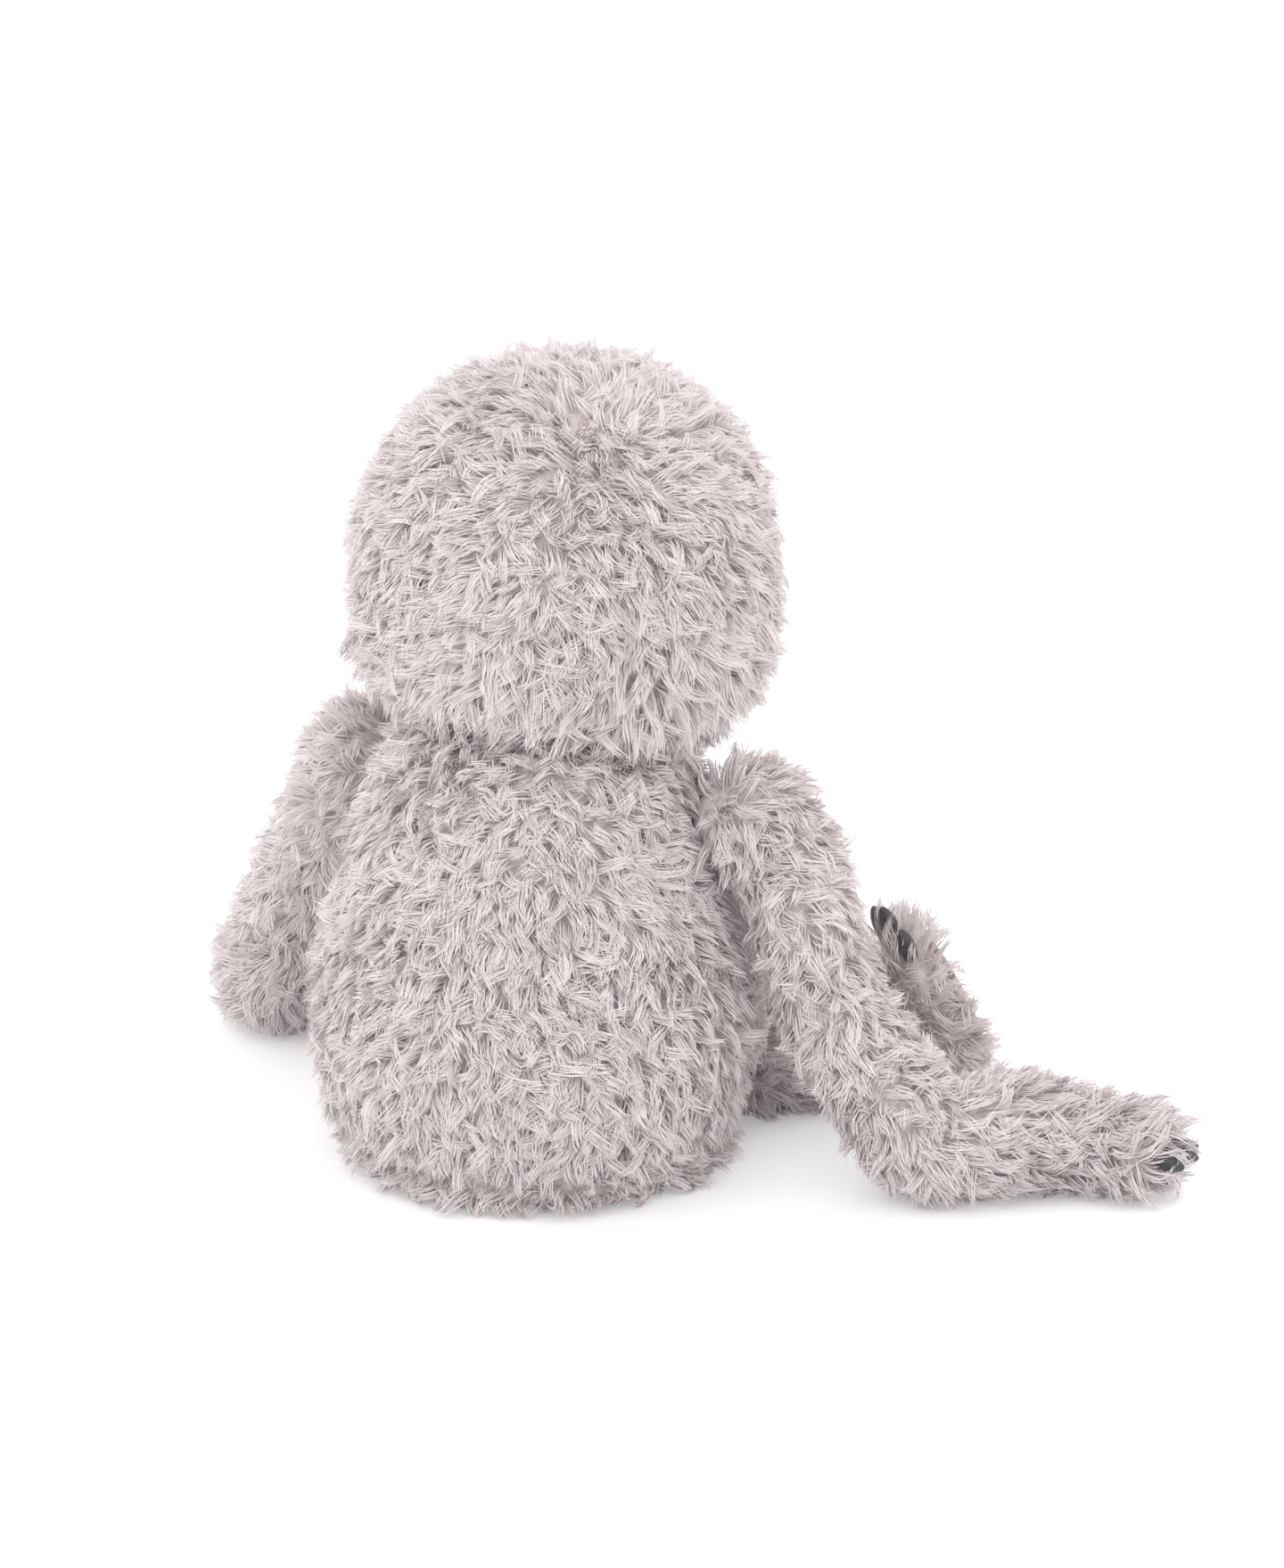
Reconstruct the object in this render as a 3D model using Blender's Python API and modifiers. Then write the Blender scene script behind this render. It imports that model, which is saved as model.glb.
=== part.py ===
"""A seated plush sloth with long arms, built the way the toy is sewn and stuffed.

Metres, +Z up. The face looks along -Y, and the origin is on the floor under the middle of the body.
The body is two balls joined by the cone that touches both. The head sits on the upper ball and turns
about its centre. Each limb starts in a ball that lies against the body and turns about that ball's centre.
"""

import math

import bmesh
import bpy
from mathutils import Matrix, Vector

# Cloth and clearances
CLEARANCE = 0.0003
CLOTH = 0.0025
FLOOR_LIFT = 0.0003
OVERRUN = 0.010
WELD_DISTANCE = 0.00001

# Body
SEAT_BALL_RADIUS = 0.0655
SEAT_BALL_HEIGHT = 0.0460
CHEST_BALL_RADIUS = 0.0514
CHEST_BALL_HEIGHT = 0.1000
BASE_ROLL_RADIUS = 0.0070
BASE_SEAM_HEIGHT = 0.0132
BASE_SEAM_DEPTH = 0.0028
BASE_SEAM_WIDTH = 0.0036
SIDE_SEAM_FORWARD = 0.0260
POUCH_MARGIN = 0.0135
POUCH_HEIGHT = 0.0270
POUCH_FOOT_TUCK = 0.0070

# Neck and head
NECK_CLOTH = 0.0017
NECK_RADIUS = 0.0310
HEAD_RADIUS = 0.0622
HEAD_DEPTH_RADIUS = 0.0602
HEAD_HALF_HEIGHT = 0.0580
HEAD_SINK = 0.0254
HEAD_FORWARD = 0.0180
CROWN_POWER = 2.0
JOWL_POWER = 2.9

# Face
FACE_HALF_WIDTH = 0.0440
FACE_HALF_HEIGHT = 0.0380
PATCH_THICKNESS = 0.0012
PATCH_HALF_LENGTH = 0.0165
PATCH_HALF_WIDTH = 0.0092
PATCH_TILT = math.radians(32)
PATCH_SHIFT = 0.0050
EYE_OUT = 0.0205
EYE_RADIUS = 0.0050
EYE_DOME = 0.0036
EYE_LIFT = 0.0009
STEM_RADIUS = 0.0015
STEM_LENGTH = 0.0075
WASHER_RADIUS = 0.0052
WASHER_THICKNESS = 0.0012
WASHER_DROP = 0.0012
MUZZLE_HALF_WIDTH = 0.0225
MUZZLE_DEPTH = 0.0110
MUZZLE_HALF_HEIGHT = 0.0150
NOSE_HALF_WIDTH = 0.0075
NOSE_DEPTH = 0.0045
NOSE_HALF_HEIGHT = 0.0050
NOSE_RISE = 0.0060

# Arms
LIMB_PRESS = 0.0014
SHOULDER_FORWARD_ANGLE = math.radians(12.3)
SHOULDER_RADIUS = 0.0165
UPPER_ARM_RADIUS = 0.0153
ELBOW_RADIUS = 0.0156
ARM_BEND_RADIUS = 0.0174
FOREARM_RADIUS = 0.0178
HAND_RADIUS = 0.0136
ELBOW_LIP = 0.0110
STUFFING_HOLE_RADIUS = 0.0030
RIGHT_BEND_ASIDE = 0.0575
RIGHT_BEND_FORWARD = 0.0050
RIGHT_HAND_OUT = 0.0490
RIGHT_HAND_FORWARD = 0.0290
LEFT_BEND_ASIDE = 0.0545
LEFT_BEND_FORWARD = 0.0440
LEFT_HAND_OUT = 0.0140
LEFT_HAND_FORWARD = 0.0560

# Legs
LEG_RADIUS = 0.0175
ANKLE_RADIUS = 0.0165
HIP_SPLAY = math.radians(35)
LEG_SPLAY = math.radians(42.5)
LEG_LENGTH = 0.0525
FOOT_HALF_WIDTH = 0.0190
FOOT_HALF_DEPTH = 0.0130
FOOT_HALF_LENGTH = 0.0290
FOOT_LEAN = math.radians(25)
SOLE_DEPTH = 0.0080
SOLE_THICKNESS = 0.0022

# Claws
CLAW_RADIUS = 0.0029
CLAW_HALF_LENGTH = 0.0058
CLAW_STAND = 0.0016
CLAW_SPREAD = math.radians(27)
FOOT_CLAW_SPREAD = math.radians(30)

# Facets
BODY_STEPS = 24
CHEST_RINGS = 5
SEAT_RINGS = 4
ROLL_RINGS = 3
NECK_RINGS = 3
BALL_SEGMENTS = 16
BALL_RINGS = 10
OVAL_SIDES = 24
LIMB_SIDES = 12
FOOT_SEGMENTS = 16
FOOT_RINGS = 10
PAD_SEGMENTS = 18
PAD_RINGS = 10
STUD_STEPS = 12
BORE_SIDES = 10
CLAW_SEGMENTS = 8
CLAW_RINGS = 6
STATION_SPACING = 0.0110
STEPS_PER_SPAN = 20

# Where pieces lie on the body and the head, as shares of what carries them
BASE_ROLL_SHARE = 0.878
SHOULDER_RISE_SHARE = 0.893
FACE_RISE_SHARE = -0.138
EYE_RISE_SHARE = -0.009
MUZZLE_RISE_SHARE = -0.345

# How far along each stretch of an arm a point of its route lies: share outwards, share of the drop or advance
RIGHT_UPPER_SHARES = ((0.18, 0.14), (0.31, 0.36), (0.43, 0.60), (0.69, 0.82))
LEFT_UPPER_SHARES = ((0.33, 0.30), (0.70, 0.63))
RIGHT_FORE_SHARES = ((0.36, 0.56), (0.78, 0.92))
LEFT_FORE_SHARES = ((0.38, 0.32), (0.76, 0.70))
ELBOW_SHARE = 0.44
BEND_SHARE = 0.66
WRIST_SHARE = 0.90
ANKLE_SHARE = 0.72
HEAD_TURN_SHARES = (0.26, 0.48, 0.68, 0.85)

MATERIALS = {
    "fur_fabric": ((0.66, 0.60, 0.61), 0.95, 0.0),
    "face_fabric": ((0.84, 0.78, 0.72), 0.95, 0.0),
    "patch_fabric": ((0.30, 0.25, 0.25), 0.95, 0.0),
    "sole_fabric": ((0.58, 0.52, 0.53), 0.90, 0.0),
    "neck_cloth": ((0.52, 0.48, 0.49), 0.90, 0.0),
    "fibre_filling": ((0.92, 0.92, 0.90), 1.0, 0.0),
    "pouch_cloth": ((0.80, 0.78, 0.72), 0.90, 0.0),
    "claw_satin": ((0.06, 0.06, 0.07), 0.35, 0.0),
    "eye_gloss": ((0.01, 0.01, 0.01), 0.08, 0.0),
    "nose_gloss": ((0.03, 0.025, 0.03), 0.25, 0.0),
    "washer_plastic": ((0.85, 0.85, 0.85), 0.40, 0.0),
}


# Plain tools for shapes

def remove_everything():
    for item in list(bpy.data.objects):
        bpy.data.objects.remove(item)


def new_collection(name):
    collection = bpy.data.collections.new(name)
    bpy.context.scene.collection.children.link(collection)
    return collection


def make_material(name):
    colour, roughness, metallic = MATERIALS[name]
    material = bpy.data.materials.new(name)
    material.use_nodes = True
    shader = material.node_tree.nodes["Principled BSDF"]
    shader.inputs["Base Color"].default_value = (*colour, 1.0)
    shader.inputs["Roughness"].default_value = roughness
    shader.inputs["Metallic"].default_value = metallic
    return material


def blank(name, mesh):
    """A shape still to be cut: it waits as a guide that the finished model leaves out."""
    item = bpy.data.objects.new(name, mesh)
    cutters.objects.link(item)
    item.hide_render = True
    item.display_type = "WIRE"
    return item


def settle(item, face_out=False):
    """Replaces an object by the plain welded mesh that it evaluates to."""
    bpy.context.view_layer.update()
    graph = bpy.context.evaluated_depsgraph_get()
    mesh = bpy.data.meshes.new_from_object(item.evaluated_get(graph))
    mesh.transform(item.matrix_world)
    name = item.name
    bpy.data.objects.remove(item)
    work = bmesh.new()
    work.from_mesh(mesh)
    bmesh.ops.remove_doubles(work, verts=work.verts, dist=WELD_DISTANCE)
    if face_out:
        bmesh.ops.recalc_face_normals(work, faces=work.faces)
    work.to_mesh(mesh)
    work.free()
    return blank(name, mesh)


def combined(item, tool, operation):
    """The item after one Boolean with a tool, which stays as it is."""
    modifier = item.modifiers.new("cut", "BOOLEAN")
    modifier.solver = "EXACT"
    modifier.operation = operation
    modifier.object = tool
    return settle(item)


def cut(item, *tools):
    for tool in tools:
        item = combined(item, tool, "DIFFERENCE")
    return item


def kept_inside(item, *tools):
    for tool in tools:
        item = combined(item, tool, "INTERSECT")
    return item


def joined(item, tool):
    return combined(item, tool, "UNION")


def copied(item, name):
    return blank(name, item.data.copy())


def turned(name, profile, steps=BODY_STEPS):
    """A solid turned about Z, from a profile of (radius, height) that runs from its top to its bottom."""
    mesh = bpy.data.meshes.new(name)
    corners = [(radius, 0, height) for radius, height in profile]
    edges = [(index, index + 1) for index in range(len(corners) - 1)]
    mesh.from_pydata(corners, edges, [])
    item = blank(name, mesh)
    screw = item.modifiers.new("turn", "SCREW")
    screw.steps = steps
    screw.render_steps = steps
    screw.use_merge_vertices = True
    screw.merge_threshold = WELD_DISTANCE
    return settle(item, face_out=True)


def ellipsoid(name, radii, frame, segments=BALL_SEGMENTS, rings=BALL_RINGS):
    """An ellipsoid with its half sizes along the axes of a frame, centred on it."""
    mesh = bpy.data.meshes.new(name)
    work = bmesh.new()
    bmesh.ops.create_uvsphere(work, u_segments=segments, v_segments=rings, radius=1)
    work.to_mesh(mesh)
    work.free()
    mesh.transform(frame @ Matrix.Diagonal((*radii, 1)))
    return blank(name, mesh)


def clear_ball(name, centre, radius):
    """A ball whose flats, and not its corners, are at the radius, so that a true ball turns inside it."""
    grown = radius / (math.cos(math.pi / BALL_SEGMENTS) * math.cos(math.pi / BALL_RINGS / 2))
    return ellipsoid(name, (grown, grown, grown), Matrix.Translation(centre))


def block(name, low, high, frame=Matrix.Identity(4)):
    """A box between two corners, given in a frame."""
    mesh = bpy.data.meshes.new(name)
    work = bmesh.new()
    bmesh.ops.create_cube(work, size=1)
    work.to_mesh(mesh)
    work.free()
    low, high = Vector(low), Vector(high)
    size = high - low
    mesh.transform(frame @ Matrix.Translation((low + high) / 2) @ Matrix.Diagonal((*size, 1)))
    return blank(name, mesh)


def rod(name, radii, near, far, frame, sides=OVAL_SIDES):
    """A round or oval rod along a frame's Z axis, from near to far."""
    mesh = bpy.data.meshes.new(name)
    work = bmesh.new()
    bmesh.ops.create_cone(
        work, cap_ends=True, segments=sides, radius1=1, radius2=1, depth=1
    )
    work.to_mesh(mesh)
    work.free()
    stretch = Matrix.Diagonal((*radii, far - near, 1))
    mesh.transform(frame @ Matrix.Translation((0, 0, (near + far) / 2)) @ stretch)
    return blank(name, mesh)


def frame_at(origin, direction, up=Vector((0, 0, 1)), roll=0.0):
    """A frame at origin with Z along direction and Y as near to up as it can be, rolled about Z."""
    z_axis = Vector(direction).normalized()
    x_axis = Vector(up).cross(z_axis).normalized()
    y_axis = z_axis.cross(x_axis)
    turn = Matrix((x_axis, y_axis, z_axis)).transposed().to_4x4()
    return Matrix.Translation(origin) @ turn @ Matrix.Rotation(roll, 4, "Z")


def swell(table, share):
    """A radius read smoothly from a table of (share, radius)."""
    for (share_a, radius_a), (share_b, radius_b) in zip(table, table[1:]):
        if share <= share_b:
            way = (share - share_a) / (share_b - share_a)
            way = way * way * (3 - 2 * way)
            return radius_a + (radius_b - radius_a) * way
    return table[-1][1]


class Route:
    """A smooth curve through points, read by the length along it."""

    def __init__(self, points):
        ends = [points[0] * 2 - points[1], *points, points[-1] * 2 - points[-2]]
        self.places = [points[0].copy()]
        for before, start, stop, after in zip(ends, ends[1:], ends[2:], ends[3:]):
            for step in range(1, STEPS_PER_SPAN + 1):
                t = step / STEPS_PER_SPAN
                leave, arrive = (stop - before) / 2, (after - start) / 2
                place = start * (2 * t**3 - 3 * t**2 + 1) + leave * (t**3 - 2 * t**2 + t)
                place = place + stop * (3 * t**2 - 2 * t**3) + arrive * (t**3 - t**2)
                self.places.append(place)
        self.lengths = [0.0]
        for start, stop in zip(self.places, self.places[1:]):
            self.lengths.append(self.lengths[-1] + (stop - start).length)
        self.length = self.lengths[-1]

    def at(self, length):
        """The place and the direction of travel at a length."""
        index = 1
        while index < len(self.lengths) - 1 and self.lengths[index] < length:
            index += 1
        start, stop = self.places[index - 1], self.places[index]
        way = (length - self.lengths[index - 1]) / (self.lengths[index] - self.lengths[index - 1])
        return start.lerp(stop, way), (stop - start).normalized()


def round_end(place, direction, radius):
    """Stations that close a tube in half a ball, from the ball's middle outwards."""
    angles = [math.radians(degrees) for degrees in (28, 54, 78)]
    return [(place + direction * radius * math.sin(a), radius * math.cos(a)) for a in angles]


def limb_stations(route, radius_at, start, stop, inset, ball_start, ball_stop):
    """Centres and radii of a tube along a route, which stays clear of the floor by its own radius."""
    count = max(2, round((stop - start) / STATION_SPACING))
    stations = []
    for step in range(count + 1):
        length = start + (stop - start) * step / count
        place = route.at(length)[0]
        radius = radius_at(length / route.length)
        place.z = max(place.z, radius + FLOOR_LIFT)
        stations.append((place, radius - inset))
    if ball_start:
        centre, radius = stations[0]
        away = (stations[0][0] - stations[1][0]).normalized()
        stations = round_end(centre, away, radius)[::-1] + stations
    if ball_stop:
        centre, radius = stations[-1]
        away = (stations[-1][0] - stations[-2][0]).normalized()
        stations = stations + round_end(centre, away, radius)
    return stations


def tube(name, stations):
    """A closed tube through stations of (centre, radius), made as a curve with a bevel."""
    thickest = max(radius for centre, radius in stations)
    curve = bpy.data.curves.new(name, "CURVE")
    curve.dimensions = "3D"
    curve.bevel_depth = thickest
    curve.bevel_resolution = (LIMB_SIDES - 4) // 2
    curve.use_fill_caps = True
    spline = curve.splines.new("POLY")
    spline.points.add(len(stations) - 1)
    for point, (centre, radius) in zip(spline.points, stations):
        point.co = (*centre, 1)
        point.radius = radius / thickest
    return settle(blank(name, curve), face_out=True)


def finished(item, name, material):
    """Moves a shape to the model's own collection, as the node of that name."""
    cutters.objects.unlink(item)
    parts.objects.link(item)
    item.name = name
    item.data.name = name
    item.hide_render = False
    item.display_type = "TEXTURED"
    item.data.materials.clear()
    item.data.materials.append(materials[material])
    item.data.shade_smooth()
    item.data.set_sharp_from_angle(angle=math.radians(40))
    return item


def hang(joint_name, pivot, parent, items):
    """Parents pieces to an empty at their joint, with each piece's origin there too."""
    empty = bpy.data.objects.new(joint_name, None)
    parts.objects.link(empty)
    empty.location = pivot
    if parent is not None:
        empty.parent = parent
        empty.location = pivot - pivots[parent.name]
    pivots[joint_name] = Vector(pivot)
    for item in items:
        item.data.transform(Matrix.Translation(-Vector(pivot)))
        item.parent = empty
    return empty


# Body

def cone_slope():
    """The angle by which the side of the body leans in, where one cone touches both balls."""
    return math.asin((SEAT_BALL_RADIUS - CHEST_BALL_RADIUS) / (CHEST_BALL_HEIGHT - SEAT_BALL_HEIGHT))


def arc(centre_radius, centre_height, radius, start, stop, count):
    """Points on an arc of a profile, by angle above the horizontal."""
    angles = [start + (stop - start) * step / count for step in range(count + 1)]
    return [(centre_radius + radius * math.cos(a), centre_height + radius * math.sin(a)) for a in angles]


def base_reach():
    """The radius of the roll around the base."""
    return SEAT_BALL_RADIUS * BASE_ROLL_SHARE


def body_profile(inset):
    """The body's outline, top to bottom, moved inwards by inset."""
    slope = cone_slope()
    lip = BASE_SEAM_HEIGHT + BASE_SEAM_WIDTH / 2
    low = -math.asin((SEAT_BALL_HEIGHT - lip) / (SEAT_BALL_RADIUS - inset))
    chest = arc(0, CHEST_BALL_HEIGHT, CHEST_BALL_RADIUS - inset, math.pi / 2, slope, CHEST_RINGS)
    seat = arc(0, SEAT_BALL_HEIGHT, SEAT_BALL_RADIUS - inset, slope, low, SEAT_RINGS)
    roll_centre = base_reach() - BASE_ROLL_RADIUS
    tuck = math.radians(48)
    roll = arc(
        roll_centre, BASE_ROLL_RADIUS, BASE_ROLL_RADIUS - inset, tuck, -math.pi / 2, ROLL_RINGS
    )
    seam = [(base_reach() - BASE_SEAM_DEPTH - inset, BASE_SEAM_HEIGHT)]
    chest[0] = (0, chest[0][1])
    return [*chest, *seat, *seam, *roll, (0, inset)]


def pouch_profile(grown):
    """The pellet pouch's outline, top to bottom, moved outwards by grown."""
    floor = CLOTH + 2 * CLEARANCE
    widest = floor + POUCH_HEIGHT / 3
    top = floor + POUCH_HEIGHT
    reach = base_reach() - POUCH_MARGIN
    angles = [math.pi / 2 * (1 - step / 5) for step in range(6)]
    dome = [
        ((reach + grown) * math.cos(a), widest + (top - widest + grown) * math.sin(a)) for a in angles
    ]
    dome[0] = (0, dome[0][1])
    if grown:
        return [*dome, (reach + grown, -OVERRUN), (0, -OVERRUN)]
    return [*dome, (reach - POUCH_FOOT_TUCK, floor), (0, floor)]


def limb_seats():
    """Balls that press the shallow seats of the arms and legs into the body."""
    seats = []
    for side, sign in (("right", -1), ("left", 1)):
        arm_seat = clear_ball(side + "_arm_seat", shoulder(sign)[0], SHOULDER_RADIUS + CLEARANCE)
        leg_seat = clear_ball(side + "_leg_seat", hip(sign), LEG_RADIUS + CLEARANCE)
        seats += [arm_seat, leg_seat]
    return seats


def make_body():
    """The panels, the filling and the pellet pouch."""
    reach = SEAT_BALL_RADIUS + OVERRUN
    top = CHEST_BALL_HEIGHT + CHEST_BALL_RADIUS + OVERRUN
    shell = cut(turned("shell", body_profile(0)), turned("body_cavity", body_profile(CLOTH)))
    shell = cut(shell, *limb_seats())
    half = CLEARANCE / 2
    below = block("below_seam", (-reach, -reach, -OVERRUN), (reach, reach, BASE_SEAM_HEIGHT - half))
    front = block(
        "front", (-reach, -reach, BASE_SEAM_HEIGHT + half), (reach, -SIDE_SEAM_FORWARD - half, top)
    )
    base = kept_inside(copied(shell, "base"), below)
    belly = kept_inside(copied(shell, "belly"), front)
    panels = [
        finished(base, "base_panel", "fur_fabric"),
        finished(belly, "belly_panel", "fur_fabric"),
    ]
    for side, low, high in (("right", -reach, -half), ("left", half, reach)):
        back = block(
            side + "_back",
            (low, -SIDE_SEAM_FORWARD + half, BASE_SEAM_HEIGHT + half),
            (high, reach, top),
        )
        panel = kept_inside(copied(shell, side + "_panel"), back)
        panels.append(finished(panel, "back_panel_" + side, "fur_fabric"))
    filling = turned("body_stuffing", body_profile(CLOTH + CLEARANCE))
    filling = cut(filling, turned("pouch_space", pouch_profile(CLEARANCE)))
    panels.append(finished(filling, "body_filling", "fibre_filling"))
    panels.append(finished(turned("pouch", pouch_profile(0)), "pellet_pouch", "pouch_cloth"))
    return panels


# Neck and head

def neck_pivot():
    return Vector((0, 0, CHEST_BALL_HEIGHT))


def neck_cloth_radius():
    """The inner radius of the neck disc, whose flats and not its corners clear the chest ball."""
    ring_turn = math.asin(NECK_RADIUS / CHEST_BALL_RADIUS) / NECK_RINGS
    flats = math.cos(math.pi / BODY_STEPS) * math.cos(ring_turn / 2)
    return (CHEST_BALL_RADIUS + CLEARANCE) / flats


def make_neck():
    """The cloth that closes the head's neck opening, a slice of a ball's skin about the neck's pivot."""
    low = neck_cloth_radius()
    high = low + NECK_CLOTH
    lean = math.asin(NECK_RADIUS / high)
    outer = arc(0, CHEST_BALL_HEIGHT, high, math.pi / 2, math.pi / 2 - lean, NECK_RINGS)
    inner = arc(0, CHEST_BALL_HEIGHT, low, math.pi / 2 - lean, math.pi / 2, NECK_RINGS)
    outer[0] = (0, outer[0][1])
    inner[-1] = (0, inner[-1][1])
    return finished(turned("neck", [*outer, *inner]), "neck_disc", "neck_cloth")


def make_neck_space():
    """The hollow under the head: a turned ball cap whose flats clear the neck disc and the chest."""
    rings = 2 * NECK_RINGS
    turn = math.pi / 2 / rings
    flats = math.cos(math.pi / BODY_STEPS) * math.cos(turn / 2)
    radius = (neck_cloth_radius() + NECK_CLOTH + CLEARANCE) / flats
    cap = arc(0, CHEST_BALL_HEIGHT, radius, math.pi / 2, 0, rings)
    cap[0] = (0, cap[0][1])
    return turned("neck_space", [*cap, (0, CHEST_BALL_HEIGHT)])


def head_centre():
    """The head's middle: its underside is sunk into the top of the chest, which cuts it."""
    height = CHEST_BALL_HEIGHT + CHEST_BALL_RADIUS - HEAD_SINK + HEAD_HALF_HEIGHT
    return Vector((0, -HEAD_FORWARD, height))


def head_level(share):
    """A height on the head, as a share of its half height above its middle."""
    return head_centre().z + HEAD_HALF_HEIGHT * share


def head_width_at(rise, inset):
    """The head's radius across at a rise above its middle."""
    power = CROWN_POWER if rise > 0 else JOWL_POWER
    share = min(1.0, abs(rise) / (HEAD_HALF_HEIGHT - inset))
    return (HEAD_RADIUS - inset) * (1 - share**power) ** (1 / power)


def head_form(name, inset):
    """The head's rounded bun: an ellipse above its middle and a squarer jowl below."""
    half = HEAD_HALF_HEIGHT - inset
    rises = [half * math.cos(math.pi / 2 * share) for share in (0, *HEAD_TURN_SHARES)]
    above = [(head_width_at(rise, inset), rise) for rise in rises]
    below = [(head_width_at(-rise, inset), -rise) for rise in rises[::-1]]
    above[0] = (0, half)
    below[-1] = (0, -half)
    item = turned(name, [*above, (HEAD_RADIUS - inset, 0), *below])
    squeeze = HEAD_DEPTH_RADIUS / HEAD_RADIUS
    item.data.transform(Matrix.Translation(head_centre()) @ Matrix.Diagonal((1, squeeze, 1, 1)))
    return item


def face_depth(out, height):
    """How far forward the head's true surface is, as a negative Y."""
    width = head_width_at(height - head_centre().z, 0)
    squeeze = HEAD_DEPTH_RADIUS / HEAD_RADIUS
    return -HEAD_FORWARD - squeeze * math.sqrt(max(0.0, width**2 - out**2))


def face_frame(out, height, roll=0.0):
    """A frame on the face with Z pointing straight out of its surface."""
    nudge = CLOTH
    slope_x = (face_depth(out + nudge, height) - face_depth(out - nudge, height)) / (2 * nudge)
    slope_z = (face_depth(out, height + nudge) - face_depth(out, height - nudge)) / (2 * nudge)
    place = Vector((out, face_depth(out, height), height))
    return frame_at(place, Vector((slope_x, -1, slope_z)), roll=roll)


def stud_profile(radius, dome):
    """A safety eye: a dome over a flat back, and a stem behind it."""
    angles = [math.pi / 2 * (1 - step / 4) for step in range(5)]
    cap = [(radius * math.cos(a), dome * math.sin(a)) for a in angles]
    cap[0] = (0, dome)
    return [*cap, (STEM_RADIUS, 0), (STEM_RADIUS, -STEM_LENGTH), (0, -STEM_LENGTH)]


def washer(name, frame, depth):
    """The ring that locks a stem behind the cloth."""
    hole = STEM_RADIUS + CLEARANCE
    ring = rod(
        name, (WASHER_RADIUS, WASHER_RADIUS), -depth - WASHER_THICKNESS, -depth, frame, STUD_STEPS
    )
    bore = rod(name + "_bore", (hole, hole), -depth - OVERRUN, -depth + OVERRUN, frame, BORE_SIDES)
    return cut(ring, bore)


def stem_fittings(name, frame):
    """The bore for a stem, the space for its washer behind the cloth, and the washer itself."""
    hole = STEM_RADIUS + CLEARANCE
    pocket = WASHER_RADIUS + CLEARANCE
    depth = CLOTH + WASHER_DROP
    far = MUZZLE_DEPTH + OVERRUN
    bore = rod(name + "_bore", (hole, hole), -STEM_LENGTH - CLEARANCE, far, frame, BORE_SIDES)
    nest = rod(
        name + "_nest",
        (pocket, pocket),
        -depth - WASHER_THICKNESS - CLEARANCE,
        OVERRUN,
        frame,
        STUD_STEPS,
    )
    return bore, nest, washer(name + "_ring", frame, depth)


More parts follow.
